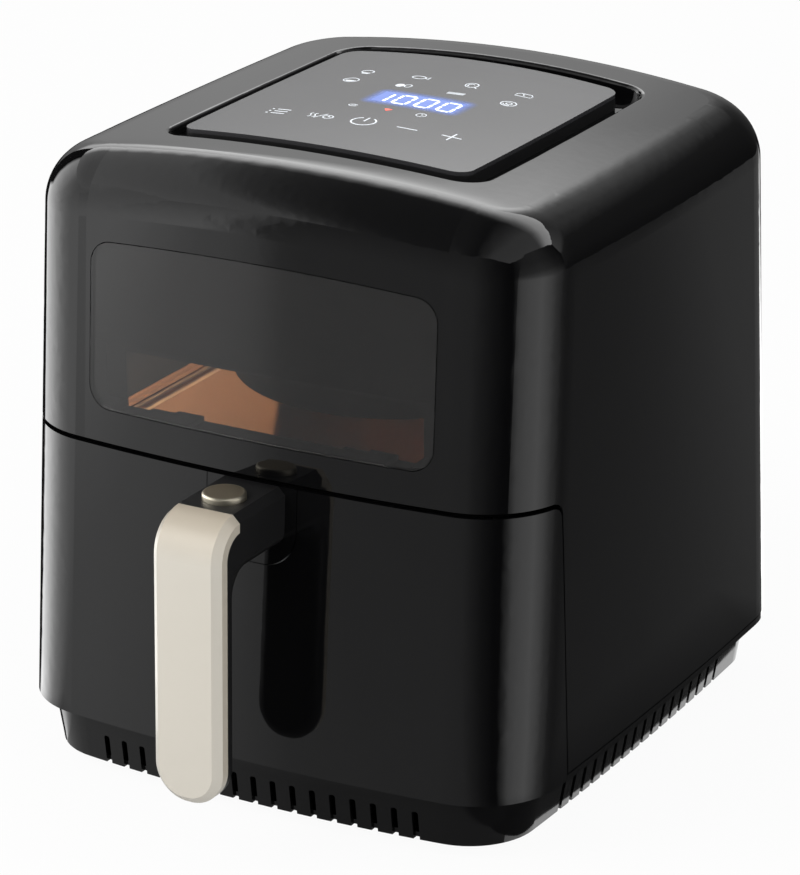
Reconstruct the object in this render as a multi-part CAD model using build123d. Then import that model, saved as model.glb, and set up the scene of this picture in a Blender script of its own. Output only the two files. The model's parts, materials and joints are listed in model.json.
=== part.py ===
from build123d import *
from math import radians, tan
import os

# Air fryer with a viewing window and a pull-out drawer.
# Millimetres. X is right, -Y is the front, Z is up. The floor is z = 0, under the rubber feet.

# Driving dimensions: body
body_width = 283.0          # across the sides at the seam
body_depth = 293.0          # front centre to back centre at the seam
side_draft = 0.66           # degrees, the sides lean in going up
front_draft = 3.5           # degrees, front and back lean in going up
front_bow = 10.0            # how far the front's middle stands out from its corners
side_bow = 3.4
back_bow = 3.0
front_corner = 43.5         # plan radius of the front corners
back_corner = 43.5
top_round = 30.0            # rounding between walls and top
crown_drop = 13.3           # how far the top falls from its middle to its sides
wall = 3.0                  # moulded wall

# Driving dimensions: heights, from the floor up
foot_height = 7.1           # feet below the skirt
skirt_height = 25.2
rim_height = 2.4            # flush rim of the base, under the shell's sides and back
rim_lip = 5.0               # lip of the base inside the shell
drawer_height = 138.8
seam_gap = 2.4              # dark gap between drawer and shell
upper_height = 142.6        # seam to the top of the crown
hair_gap = 0.4              # thin joints between mouldings
rim_gap = 1.0               # dark line between the base's rim and the shell
side_gap = 0.8              # dark line beside the drawer's wrapped sides
skirt_gap = 2.6             # drawer front to the skirt below it

# Driving dimensions: drawer front
side_seam_y = -105.0        # where the drawer's wrapped side ends, at the seam
side_seam_lean = 2.2        # degrees
side_seam_round = 6.0
panel_setback = 16.0        # front middle at the seam to the drawer's inner panel
inner_panel_thickness = 2.5

# Driving dimensions: skirt
skirt_inset_top = 8.6
skirt_inset_bottom = 13.2
skirt_front_top = 4.5       # the skirt's inset at the front
skirt_front_bottom = 9.2
base_floor_thickness = 2.5
base_floor_lift = 0.8       # floor of the base above the skirt's lower edge
slot_width = 3.2
slot_height = 14.9
slot_round = 1.2
front_slot_count = 17
front_slot_pitch = 10.65
side_slot_count = 17
side_slot_pitch = 10.6
side_slot_y = 1.8           # middle of the side slots
foot_diameter = 20.0
foot_inset = 40.0           # foot centre from the body's side and front
post_width = 16.0           # posts of the base under the liner
post_inset = 30.0           # post centre from the liner's side and ends
base_screw = 3.5

# Driving dimensions: window
window_width = 184.8
window_height = 84.8
window_sill = 16.0          # shell's front edge to the window
window_arch = 4.1           # rise of the window's upper edge
window_corner = 12.0
frame_lap = 6.0             # frame behind the shell around the window
frame_border = 1.5          # frame behind the glass
frame_opening = 31.0        # height of the frame's clear opening
sight_width = 160.0         # opening in the liner behind the window
sight_height = 28.0
sight_drop = 2.6            # its lower edge below the window's
sight_tab = 2.4             # small tabs along its lower edge
sight_tab_width = 14.0
sight_tab_spread = 52.0     # tabs from the middle

# Driving dimensions: control panel
panel_width = 154.0
panel_length = 164.0
panel_centre_y = -2.95
panel_corner = 9.0
panel_side_bow = 0.8
panel_proud = 1.6           # above the shell's crown
panel_thickness = 2.0
moat_side = 8.6            # gap beside the panel
moat_front = 5.6
moat_back = 15.0
moat_corner = 15.0
moat_depth = 10.0           # below the crown's top
lip_round = 2.0
plinth_wall = 2.5

# Driving dimensions: cooking chamber and pan
sheet = 1.2                 # liner sheet
side_air_gap = 20.0         # shell to liner
front_room = 20.5           # front middle at the seam to the liner
rear_room = 36.0            # back middle at the seam to the liner
chamber_rise = 66.0         # shell's front edge to the chamber's ceiling
liner_flange = 7.0
pan_floor_gap = 5.0
pan_depth = 116.6
pan_top_gap = 8.0           # below the drawer front's upper edge
pan_wall = 1.6
pan_corner = 30.0
pan_foot_round = 12.0
pan_draft = 2.0             # degrees
pan_rim = 4.5               # width of the rim flange at the front
pan_rear_gap = 6.0          # pan rim to the liner's back
rail_width = 8.0
rail_height = 5.0
rail_chamfer = 3.0
rail_clearance = 0.3
crisper_thickness = 2.0
crisper_lift = 12.0         # crisper plate above the pan's floor
crisper_gap = 2.5           # plate edge to the pan's wall
crisper_hole = 7.0
crisper_pitch = 17.0

# Driving dimensions: heater, fan and motor
heater_tube = 6.5
heater_inner = 50.0
heater_step = 11.0
heater_turns = 2
heater_drop = 12.0          # ceiling to the tube's centre
guard_drop = 52.0           # ceiling to the fan guard's underside
guard_diameter = 160.0
guard_thickness = 1.2
guard_hole = 8.0
post_diameter = 5.0
shaft_diameter = 6.0
shaft_clearance = 0.05
shaft_room = 2.0            # shaft to the liner's hole
hub_room = 1.0              # hub to the bracket's hole
fan_diameter = 84.0
fan_drop = 3.0              # ceiling to the hot air fan
fan_height = 10.0
blade_count = 8
blade_thickness = 1.0
hub_diameter = 16.0
cooling_diameter = 82.0
cooling_rise = 6.0          # liner's top to the cooling fan
cooling_height = 9.0
nut_height = 5.0
nut_width = 11.0
bracket_rise = 21.0         # liner's top to the motor bracket
bracket_thickness = 2.0
bracket_length = 116.0
bracket_width = 40.0
motor_diameter = 62.0
motor_height = 26.0
motor_screw_circle = 76.0
motor_screw = 3.5
motor_ear = 3.0
bracket_foot = 10.0
shaft_end = 2.0             # shaft above the motor
guard_rings = 5
guard_ring_holes = 6        # more in each ring going out

# Driving dimensions: handle
handle_width = 36.2
handle_reach = 59.0         # front middle at the seam to the grip's outer face
handle_lean = 1.3           # degrees, the grip's lower end stands further out
grip_thickness = 16.6
grip_end_gap = 0.2          # grip's end above the drawer front's lower edge
arm_height = 28.0
outer_bend = 20.0
inner_bend = 11.0
cover_chamfer = 3.7
cover_depth = 8.2
cover_end = 40.0            # front middle at the seam to the cover's upper end
core_round = 6.5
flange_width = 48.0
flange_height = 39.0
flange_corner = 17.5
bracket_plate = 2.0
handle_screw = 3.0
screw_clearance = 0.05
screw_head = 5.6
screw_head_height = 2.2
screw_seat = 0.3            # head's gap to the bracket
screw_reach = 14.0
screw_rise = 4.5            # lower screws above the arm's underside
grip_end_flat = 1.0

# Driving dimensions: release button and latch
button_diameter = 20.6
button_proud = 3.0
button_clearance = 0.3
button_reach = 23.8         # front middle at the seam to the button's axis
button_rim_round = 1.1
button_collar = 1.2         # collar's radial width, under the arm's top wall
button_collar_height = 2.0
arm_wall = 3.0
stem_diameter = 6.0
stem_length = 12.4
shelf_thickness = 2.0
shelf_drop = 8.8            # collar to the shelf
spring_wire = 0.9
spring_diameter = 11.0
spring_turns = 4
lever_thickness = 3.2
lever_width = 12.0
lever_gap = 0.3
lever_pin = 4.0
pin_clearance = 0.05
pivot_reach = 5.0           # front middle at the seam to the lever's pivot
hook_reach = -12.5          # the hook is this far behind the front middle
hook_depth = 3.0
latch_plate = 1.6
latch_width = 24.0
lever_tip = 3.0             # lever past the button's axis
lever_boss = 7.5
hook_width = 6.0
hook_length = 4.4
hook_clearance = 1.0
passage_room = 2.0          # lever to the opening it passes through
pin_seat = 1.5              # pin in each wall of the arm
tip_chamfer = 1.5
crisper_corner = 24.0
crisper_leg = 8.0
crisper_leg_inset = 26.0
crisper_seat = 0.1          # legs above the pan's floor
bumper_width = 16.0
bumper_height = 6.0
bumper_gap = 0.4
seal_gap = 0.3
seal_drop = 2.3             # seal below the liner

# Driving dimensions: rear and electrics
grille_width = 110.0
grille_height = 46.0
grille_rise = 26.0          # seam to the grille's lower edge
grille_slot = 4.0
grille_slot_count = 9
grille_corner = 8.0
gland_diameter = 18.0
gland_bore = 7.5
gland_flange = 24.0
gland_z = 62.0
board_thickness = 1.6
power_board_width = 120.0
power_board_height = 70.0
power_board_z = 78.0
standoff_diameter = 7.0
standoff_length = 9.0
component_x = 36.0          # relay, capacitor and driver from the board's middle
relay_width = 22.0
relay_height = 18.0
relay_depth = 15.0
capacitor_diameter = 14.0
capacitor_depth = 14.0
choke_diameter = 20.0
choke_depth = 16.0
driver_width = 24.0
driver_height = 28.0
driver_depth = 12.0
socket_width = 11.0
socket_height = 12.0
socket_depth = 9.0
display_width = 52.0
display_length = 22.0
display_height = 3.4
display_x = 6.0
display_y = -3.0
control_board_width = 104.0
control_board_length = 110.0
control_board_lift = 3.0    # above the moat's floor
plinth_floor = 1.5
duct_border = 6.0           # grille's edge to the exhaust duct
loom_diameter = 7.0
loom_hole = 9.0
loom_x = 56.0
loom_top_y = 60.0
loom_bend = 11.0
loom_gap = 1.0              # power board to the loom
loom_drop = 18.0            # moat tub to the loom's level run
sensor_diameter = 4.0
sensor_length = 24.0
sensor_x = 70.0
sensor_drop = 24.0          # ceiling to the temperature sensor
fuse_diameter = 6.0
fuse_length = 16.0
fuse_x = 80.0
fuse_y = 30.0               # behind the fan's axis
reed_case = 8.0
magnet_diameter = 8.0
magnet_thickness = 2.5
magnet_gap = 2.0            # inner panel to the magnet
magnet_x = 60.0
lamp_diameter = 14.0
lamp_length = 12.0
lamp_y = -30.0
lamp_drop = 61.4            # ceiling to the lamp's axis

# Worked-out heights
skirt_bottom = foot_height
drawer_bottom = skirt_bottom + skirt_height
shell_bottom = drawer_bottom + rim_height + rim_gap
drawer_top = drawer_bottom + drawer_height
seam_z = drawer_top + seam_gap / 2
shell_front_edge = drawer_top + seam_gap
body_top = seam_z + upper_height
skirt_top = drawer_bottom - hair_gap
base_floor = skirt_bottom + base_floor_lift
base_floor_top = base_floor + base_floor_thickness
front_y = -body_depth / 2
back_y = body_depth / 2
side_seam_shift = tan(radians(side_seam_lean)) * drawer_height
window_low = shell_front_edge + window_sill
window_high = window_low + window_height
crown_radius = (body_width / 2) ** 2 / (2 * crown_drop) + crown_drop / 2
moat_floor = body_top - moat_depth
liner_half = body_width / 2 - wall - side_bow - side_air_gap
liner_front = front_y + front_room
liner_back = back_y - rear_room
liner_top = shell_front_edge + chamber_rise
ceiling = liner_top - sheet
pan_top = drawer_top - pan_top_gap
pan_bottom = pan_top - pan_depth
liner_floor = pan_bottom - pan_floor_gap
liner_bottom = liner_floor - sheet
rail_half = liner_half - sheet
rail_top = pan_top - pan_wall - rail_clearance
pan_rim_half = rail_half - rail_clearance
pan_half = rail_half - rail_width - 2 * rail_clearance
panel_front = front_y + panel_setback
panel_rear = panel_front + inner_panel_thickness
pan_back = liner_back - sheet - pan_rear_gap
crisper_z = pan_bottom + pan_wall + crisper_lift
fan_y = (liner_front + liner_back) / 2
handle_front = front_y - handle_reach
button_y = front_y - button_reach
pivot_y = front_y - pivot_reach
hook_y = front_y - hook_reach
arm_bottom = drawer_top - arm_height
collar_top = drawer_top - arm_wall - button_clearance
collar_bottom = collar_top - button_collar_height
shelf_top = collar_bottom - shelf_drop
stem_bottom = collar_bottom - stem_length
lever_top = stem_bottom - lever_gap
pivot_z = lever_top - lever_thickness / 2
latch_z = lever_top - lever_thickness - hair_gap
cavity_half = handle_width / 2 - 2 * arm_wall
cover_end_y = front_y - cover_end
control_board_z = moat_floor + control_board_lift
duct_half = grille_width / 2 - duct_border
duct_low = seam_z + grille_rise + duct_border
duct_high = ceiling
sensor_z = ceiling - sensor_drop
lamp_z = ceiling - lamp_drop
pan_front = panel_rear + pan_rim
pan_rear = pan_back - pan_rim
pan_middle_y = (pan_front + pan_rear) / 2
far = 2 * (body_width + body_depth)
overcut = 1.0               # cutters past the faces they cut
touch = 0.01                # two places closer than this are one


def box(x0, x1, y0, y1, z0, z1):
    size = (x1 - x0, y1 - y0, z1 - z0)
    return Pos((x0 + x1) / 2, (y0 + y1) / 2, (z0 + z1) / 2) * Box(*size)


def rod(x, y, z0, z1, diameter):
    return Pos(x, y, (z0 + z1) / 2) * Cylinder(diameter / 2, z1 - z0)


def rod_x(x0, x1, y, z, diameter):
    return Pos((x0 + x1) / 2, y, z) * Rot(0, 90, 0) * Cylinder(diameter / 2, x1 - x0)


def rod_y(x, y0, y1, z, diameter):
    return Pos(x, (y0 + y1) / 2, z) * Rot(90, 0, 0) * Cylinder(diameter / 2, y1 - y0)


# Plan outline with four bowed sides and rounded corners.
def bowed_face(half_x, y_front, y_back, bows, radii, z):
    bow_front, bow_side, bow_back = bows
    corner_x = half_x - bow_side
    left_front = (-corner_x, y_front + bow_front)
    right_front = (corner_x, y_front + bow_front)
    right_back = (corner_x, y_back - bow_back)
    left_back = (-corner_x, y_back - bow_back)
    middle = (y_front + y_back) / 2
    sides = [
        ThreePointArc(left_front, (0, y_front), right_front),
        ThreePointArc(right_front, (half_x, middle), right_back),
        ThreePointArc(right_back, (0, y_back), left_back),
        ThreePointArc(left_back, (-half_x, middle), left_front),
    ]
    face = make_face(sides)
    face = fillet(face.vertices().sort_by(Axis.Y)[:2], radii[0])
    face = fillet(face.vertices().sort_by(Axis.Y)[-2:], radii[1])
    return Pos(0, 0, z) * face


# The body's plan at a height, drawn in by inset, and at the front by an inset of its own.
def outline_at(z, inset, front_inset):
    half_x = body_width / 2 + tan(radians(side_draft)) * (seam_z - z) - inset
    half_y = body_depth / 2 + tan(radians(front_draft)) * (seam_z - z)
    radii = (front_corner - front_inset, back_corner - inset)
    return bowed_face(half_x, front_inset - half_y, half_y - inset, (front_bow, side_bow, back_bow), radii, z)


def body_outline(z, inset):
    return outline_at(z, inset, inset)


# Everything below the crowned top, raised by lift.
def crown(lift):
    barrel = Pos(0, 0, body_top + lift - crown_radius) * Rot(90, 0, 0)
    return barrel * Cylinder(crown_radius, far)


# The body's outer form, drawn in by inset on every side.
def body_form(inset, z_low, rounding):
    low = body_outline(z_low, inset)
    high = body_outline(body_top, inset)
    form = loft([low, high], ruled=True) & crown(-inset)
    if rounding:
        form = fillet(form.faces().sort_by(Axis.Z)[-1].edges(), top_round - inset)
    return form


outer_form = body_form(0, drawer_bottom, True)
inner_form = body_form(wall, drawer_bottom - wall, True)
skin = outer_form - inner_form


# The drawer front's region, cut to its shape in side view and grown by the gaps around it.
def drawer_region(top_gap, edge_gap, drop):
    top = drawer_top + top_gap
    low = drawer_bottom - drop
    edge_y = side_seam_y + edge_gap
    points = [
        (front_y * 2, low),
        (edge_y + tan(radians(side_seam_lean)) * (top - low), low),
        (edge_y, top),
        (front_y * 2, top),
    ]
    face = make_face(Plane.YZ * Polyline(*points, close=True))
    region = extrude(face, body_width, both=True)
    corner = region.edges().filter_by(Axis.X).sort_by_distance((0, edge_y, top))[0]
    return fillet(corner, side_seam_round + edge_gap)


# Window outline seen from the front, grown on every side, as a bar through the front wall.
def window_prism(grow):
    half = window_width / 2 + grow
    top = window_high + grow
    bottom = window_low - grow
    shoulder = top - window_arch
    edges = [
        Line((-half, bottom), (half, bottom)),
        Line((half, bottom), (half, shoulder)),
        Line((-half, bottom), (-half, shoulder)),
        ThreePointArc((-half, shoulder), (0, top), (half, shoulder)),
    ]
    face = fillet(make_face(edges).vertices(), window_corner + grow)
    return extrude(Plane.XZ * face, -front_y * 2, dir=(0, -1, 0))


def panel_face(grow_side, grow_front, grow_back, corner, z):
    half = panel_width / 2 + grow_side
    y_front = panel_centre_y - panel_length / 2 - grow_front
    y_back = panel_centre_y + panel_length / 2 + grow_back
    bow = front_bow * (half / (body_width / 2)) ** 2
    return bowed_face(half, y_front, y_back, (bow, panel_side_bow, bow), (corner, corner), z)


def grille_prism(grow):
    low = seam_z + grille_rise - grow
    high = seam_z + grille_rise + grille_height + grow
    blank = Pos(0, back_y, (low + high) / 2)
    plate = blank * Box(grille_width + 2 * grow, body_depth / 2, high - low)
    return fillet(plate.edges().filter_by(Axis.Y), grille_corner + grow)


def outer_shell():
    shell = skin - drawer_region(seam_gap, side_gap, 4 * wall)
    shell -= box(-far, far, -far, far, -far, shell_bottom)
    tub_low = moat_floor - wall
    tub = extrude(panel_face(moat_side + wall, moat_front + wall, moat_back + wall,
                             moat_corner + wall, tub_low), upper_height)
    shell += tub & outer_form
    shell -= extrude(panel_face(moat_side, moat_front, moat_back, moat_corner, moat_floor), upper_height)
    crowned = [face for face in shell.faces() if face.inner_wires()]
    crowned = ShapeList(crowned).sort_by(Axis.Z)[-1]
    shell = fillet(crowned.inner_wires()[0].edges(), lip_round)
    shell -= window_prism(0)
    shell -= grille_prism(0)
    shell -= rod_y(0, back_y / 2, back_y * 2, gland_z, gland_diameter)
    shell -= rod(loom_x, loom_top_y, tub_low - wall, moat_floor + wall, loom_hole)
    return shell


def skirt_form(inset):
    low = outline_at(skirt_bottom, skirt_inset_bottom + inset, skirt_front_bottom + inset)
    high = outline_at(skirt_top, skirt_inset_top + inset, skirt_front_top + inset)
    return loft([low, high], ruled=True)


# A slot's cutter with rounded upper corners; across is the axis it cuts along.
def slot_bar(x0, x1, y0, y1, z0, z1, across):
    bar = box(x0, x1, y0, y1, z0, z1)
    return fillet(bar.edges().filter_by(across).group_by(Axis.Z)[-1], slot_round)


def skirt_slots():
    slots = []
    reach = 2 * (skirt_inset_bottom + wall)
    z0 = skirt_bottom - wall
    z1 = skirt_bottom + slot_height
    half = slot_width / 2
    for i in range(front_slot_count):
        x = (i - (front_slot_count - 1) / 2) * front_slot_pitch
        slots.append(slot_bar(x - half, x + half, front_y - reach, front_y + reach, z0, z1, Axis.Y))
    for i in range(side_slot_count):
        y = side_slot_y + (i - (side_slot_count - 1) / 2) * side_slot_pitch
        for side in (-1, 1):
            x = side * body_width / 2
            slots.append(slot_bar(x - reach, x + reach, y - half, y + half, z0, z1, Axis.X))
    return slots


def ring_between(inset_out, inset_in, z0, z1):
    out = loft([body_outline(z0, inset_out), body_outline(z1, inset_out)], ruled=True)
    low = body_outline(z0 - overcut, inset_in)
    high = body_outline(z1 + overcut, inset_in)
    return out - loft([low, high], ruled=True)


def liner_posts():
    x = liner_half - post_inset
    return [(side * x, y) for side in (-1, 1) for y in (liner_front + post_inset, liner_back - post_inset)]


def base_pan():
    skirt = skirt_form(0) - skirt_form(wall)
    skirt -= skirt_slots()
    floor = skirt_form(wall / 2) & box(-far, far, -far, far, base_floor, base_floor_top)
    rim_top = shell_bottom - rim_gap
    rim = ring_between(hair_gap, skirt_inset_top + wall / 2, skirt_top - hair_gap, rim_top)
    lip = ring_between(wall + hair_gap, 2 * wall, drawer_bottom, rim_top + rim_lip)
    rim_front = side_seam_y + side_seam_shift + side_gap
    behind = box(-far, far, rim_front, far, -far, far)
    skirt -= box(-far, far, -far, rim_front, drawer_bottom - skirt_gap, far)
    base = skirt + floor
    base += (rim + lip) & behind
    for x, y in liner_posts():
        base += rod(x, y, base_floor_top, liner_bottom, post_width)
        base -= rod(x, y, base_floor - wall, liner_bottom - wall, base_screw + 2 * screw_clearance)
    return base


def base_screws():
    return Compound([
        rod(x, y, base_floor, liner_bottom - 2 * wall, base_screw)
        + rod(x, y, base_floor - screw_head_height, base_floor, screw_head)
        for x, y in liner_posts()
    ])


def rubber_feet():
    x = body_width / 2 - foot_inset
    y = body_depth / 2 - foot_inset
    feet = []
    for side_x in (-1, 1):
        for side_y in (-1, 1):
            foot = rod(side_x * x, side_y * y, 0, base_floor, foot_diameter)
            feet.append(chamfer(foot.faces().sort_by(Axis.Z)[0].edges(), foot_height / 3))
    return Compound(feet)


def window_glass():
    return skin & window_prism(-hair_gap)


def sight_opening():
    low = window_low - sight_drop
    half = sight_width / 2
    opening = box(-half, half, -far, fan_y, low, low + sight_height)
    for x in (-sight_tab_spread, sight_tab_spread):
        opening -= box(x - sight_tab_width, x + sight_tab_width, -far, fan_y, low, low + sight_tab / 2)
        opening -= box(x, x + sight_tab_width, -far, fan_y, low, low + sight_tab)
    return opening


def window_frame():
    block = window_prism(frame_lap) & inner_form
    block &= box(-far, far, -far, liner_front, -far, far)
    half = window_width / 2 - frame_border
    low = window_low + frame_border
    block -= box(-half, half, -far, fan_y, low, low + frame_opening)
    return block - sight_opening()


def control_panel():
    slab = extrude(panel_face(0, 0, 0, panel_corner, moat_floor), upper_height)
    return slab & crown(panel_proud) - crown(panel_proud - panel_thickness)


def panel_plinth():
    block = extrude(panel_face(0, 0, 0, panel_corner, moat_floor), upper_height)
    block &= crown(panel_proud - panel_thickness)
    inside = panel_face(-plinth_wall, -plinth_wall, -plinth_wall, panel_corner - plinth_wall,
                        moat_floor + plinth_floor)
    block -= extrude(inside, upper_height)
    block -= rod(loom_x, loom_top_y, moat_floor - overcut, moat_floor + wall, loom_hole)
    for x, y in board_corners(control_board_width, control_board_length):
        block += rod(x, panel_centre_y + y, moat_floor, control_board_z, standoff_diameter)
    return block


def board_corners(width, length):
    x = width / 2 - standoff_diameter / 2
    y = length / 2 - standoff_diameter / 2
    return [(sx * x, sy * y) for sx in (-1, 1) for sy in (-1, 1)]


def control_board():
    half_x = control_board_width / 2
    half_y = control_board_length / 2
    top = control_board_z + board_thickness
    return box(-half_x, half_x, panel_centre_y - half_y, panel_centre_y + half_y, control_board_z, top)


def display_module():
    low = control_board_z + board_thickness
    half_x = display_width / 2
    half_y = display_length / 2
    return box(display_x - half_x, display_x + half_x, display_y - half_y, display_y + half_y,
               low, low + display_height)


def chamber_liner():
    liner = box(-liner_half, liner_half, liner_front, liner_back, liner_bottom, liner_top)
    inside_half = liner_half - sheet
    liner -= box(-inside_half, inside_half, liner_front + sheet, liner_back - sheet, liner_floor, ceiling)
    liner -= box(-inside_half, inside_half, -far, liner_front + sheet, liner_floor, drawer_top + hair_gap)
    flange_half = liner_half + liner_flange
    for side in (-1, 1):
        inner = side * liner_half
        outer = side * flange_half
        liner += box(min(inner, outer), max(inner, outer), liner_front, liner_front + sheet,
                     liner_bottom, drawer_top)
    liner -= sight_opening()
    duct = duct_half - sheet
    liner -= box(-duct, duct, fan_y, far, duct_low + sheet, duct_high - sheet)
    liner -= rod(0, fan_y, ceiling - overcut, liner_top + overcut, shaft_diameter + 2 * shaft_room)
    for y in heater_ends():
        liner -= rod(0, y, ceiling - overcut, liner_top + overcut, heater_tube + 2 * hair_gap)
    liner -= rod_x(0, far, lamp_y, lamp_z, lamp_diameter)
    liner -= rod_y(sensor_x, fan_y, far, sensor_z, sensor_diameter)
    return liner


def pan_rail(side):
    inner = side * (rail_half - rail_width)
    outer = side * rail_half
    rail = box(min(inner, outer), max(inner, outer), liner_front + sheet, liner_back - sheet,
               rail_top - rail_height, rail_top)
    edge = rail.edges().filter_by(Axis.Y).sort_by_distance((inner, fan_y, rail_top - rail_height))[0]
    return chamfer(edge, rail_chamfer)


def heater_ends():
    return (fan_y + heater_inner, fan_y + heater_inner + heater_turns * heater_step)


def heater_coil():
    z = ceiling - heater_drop
    radius = heater_inner
    arcs = []
    for i in range(heater_turns):
        near = fan_y + radius
        far_side = fan_y - radius
        arcs.append(ThreePointArc((0, near, z), (-radius, fan_y, z), (0, far_side, z)))
        radius += heater_step
        middle = (fan_y + radius + far_side) / 2
        half = (fan_y + radius - far_side) / 2
        arcs.append(ThreePointArc((0, far_side, z), (half, middle, z), (0, fan_y + radius, z)))
    path = Wire(arcs)
    start = Plane(origin=path @ 0, z_dir=path % 0)
    coil = sweep(start * Circle(heater_tube / 2), path=path)
    for y in heater_ends():
        coil += rod(0, y, z, liner_top + 2 * heater_tube, heater_tube)
    return coil


def heater_clips():
    coil = heater_coil()
    clips = []
    low = ceiling - heater_drop + heater_tube / 4
    high = low + heater_tube / 2
    inner = heater_inner - heater_tube
    outer = heater_inner + heater_turns * heater_step
    middle = heater_inner + heater_step / 2
    for angle in (-30, 90, 210):
        bar = box(inner, outer, -post_diameter / 2, post_diameter / 2, low, high)
        bar += rod(middle, 0, low, ceiling, post_diameter)
        clips.append(Pos(0, fan_y, 0) * Rot(0, 0, angle - 90) * bar - coil)
    return Compound([solid for clip in clips for solid in clip.solids()])


# A round cup under the ceiling: perforated below, closed around the heater and the fan.
def fan_guard():
    z = ceiling - guard_drop
    face = Circle(guard_diameter / 2)
    for ring in range(1, guard_rings + 1):
        radius = ring * guard_diameter / 2 / (guard_rings + 1)
        face -= PolarLocations(radius, guard_ring_holes * ring) * Circle(guard_hole / 2)
    guard = extrude(Pos(0, fan_y, z) * face, guard_thickness)
    hoop = rod(0, fan_y, z, ceiling, guard_diameter)
    hoop -= rod(0, fan_y, z - overcut, ceiling + overcut, guard_diameter - 2 * guard_thickness)
    return guard + hoop


def chamber_lamp():
    x = liner_half
    body = rod_x(x - sheet, x + lamp_length, lamp_y, lamp_z, lamp_diameter)
    return body + rod_x(x, x + 2 * sheet, lamp_y, lamp_z, lamp_diameter + 4 * sheet)


def lamp_lens():
    x = liner_half - sheet
    dome = Pos(x, lamp_y, lamp_z) * Sphere(lamp_diameter / 2)
    flat = Pos(x, lamp_y, lamp_z) * Rot(0, 90, 0) * Cylinder(far, lamp_diameter / 2)
    return dome & flat & box(-far, x, -far, far, -far, far)


def temperature_sensor():
    y = liner_back
    probe = rod_y(sensor_x, y - sensor_length, y + sheet, sensor_z, sensor_diameter)
    return probe + rod_y(sensor_x, y, y + 4 * sheet, sensor_z, 2 * sensor_diameter)


def thermal_fuse():
    z = liner_top + fuse_diameter / 2
    y = fan_y + fuse_y
    body = rod_y(fuse_x, y - fuse_length / 2, y + fuse_length / 2, z, fuse_diameter)
    return body + box(fuse_x - fuse_diameter, fuse_x + fuse_diameter, y - fuse_diameter / 2,
                      y + fuse_diameter / 2, liner_top, z)


def motor_bracket():
    z = liner_top + bracket_rise
    half = bracket_length / 2
    depth = bracket_width / 2
    bracket = box(-half, half, fan_y - depth, fan_y + depth, z, z + bracket_thickness)
    for side in (-1, 1):
        leg = sorted((side * half, side * (half - bracket_thickness)))
        foot = sorted((side * half, side * (half + bracket_foot)))
        bracket += box(leg[0], leg[1], fan_y - depth, fan_y + depth, liner_top, z)
        bracket += box(foot[0], foot[1], fan_y - depth, fan_y + depth, liner_top, liner_top + bracket_thickness)
        bracket -= rod(side * motor_screw_circle / 2, fan_y, z - overcut, z + wall, motor_screw)
    return bracket - rod(0, fan_y, z - overcut, z + wall, hub_diameter + 2 * hub_room)


def fan_motor():
    z = liner_top + bracket_rise + bracket_thickness
    can = rod(0, fan_y, z, z + motor_height, motor_diameter)
    can = fillet(can.faces().sort_by(Axis.Z)[-1].edges(), wall)
    ear = motor_screw_circle / 2 + 2 * motor_screw
    can += box(-ear, ear, fan_y - 2 * motor_screw, fan_y + 2 * motor_screw, z, z + motor_ear)
    for side in (-1, 1):
        can -= rod(side * motor_screw_circle / 2, fan_y, z - overcut, z + 2 * motor_ear, motor_screw)
    bore = shaft_diameter + 2 * shaft_clearance
    return can - rod(0, fan_y, z - overcut, z + motor_height + overcut, bore)


def motor_screws():
    z = liner_top + bracket_rise
    top = z + bracket_thickness + motor_ear
    return Compound([
        rod(side * motor_screw_circle / 2, fan_y, z - wall, top, motor_screw)
        + rod(side * motor_screw_circle / 2, fan_y, top, top + screw_head_height, 2 * motor_screw)
        for side in (-1, 1)
    ])


def fan_heights():
    top = ceiling - fan_drop
    return top - fan_height, top


def fan_shaft():
    low, high = fan_heights()
    motor_top = liner_top + bracket_rise + bracket_thickness + motor_height
    return rod(0, fan_y, low - nut_height, motor_top + shaft_end, shaft_diameter)


def bladed_wheel(diameter, low, high):
    wheel = rod(0, fan_y, low, high, hub_diameter)
    wheel += rod(0, fan_y, high - blade_thickness, high, diameter)
    inner = hub_diameter / 2 - overcut
    outer = diameter / 2 - blade_thickness
    for i in range(blade_count):
        blade = box(inner, outer, -blade_thickness / 2, blade_thickness / 2, low, high)
        wheel += Pos(0, fan_y, 0) * Rot(0, 0, 360 * i / blade_count) * blade
    return wheel - rod(0, fan_y, low - overcut, high + overcut, shaft_diameter)


def hot_air_fan():
    low, high = fan_heights()
    return bladed_wheel(fan_diameter, low, high)


def cooling_fan():
    low = liner_top + cooling_rise
    return bladed_wheel(cooling_diameter, low, low + cooling_height)


def fan_nut():
    low, high = fan_heights()
    face = RegularPolygon(nut_width / 2, 6, major_radius=False) - Circle(shaft_diameter / 2)
    return extrude(Pos(0, fan_y, low - nut_height) * face, nut_height)


def exhaust_duct():
    outer = box(-duct_half, duct_half, liner_back, far, duct_low, duct_high)
    outer -= box(-duct_half + sheet, duct_half - sheet, 0, far, duct_low + sheet, duct_high - sheet)
    return outer & inner_form


def rear_grille():
    grille = skin & grille_prism(-hair_gap)
    pitch = (grille_width - grille_corner) / grille_slot_count
    low = seam_z + grille_rise + grille_corner
    high = seam_z + grille_rise + grille_height - grille_corner
    slots = []
    for i in range(grille_slot_count):
        x = (i - (grille_slot_count - 1) / 2) * pitch
        slots.append(box(x - grille_slot / 2, x + grille_slot / 2, 0, far, low, high))
    return grille - slots


def cord_gland():
    y = back_y + tan(radians(front_draft)) * (seam_z - gland_z)
    gland = rod_y(0, y - 4 * wall, y + wall, gland_z, gland_diameter)
    gland += rod_y(0, y - 4 * wall, y - 2 * wall, gland_z, gland_flange) & inner_form
    gland += rod_y(0, y - wall, y + wall, gland_z, gland_flange) - outer_form
    return gland - rod_y(0, 0, far, gland_z, gland_bore)


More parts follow.
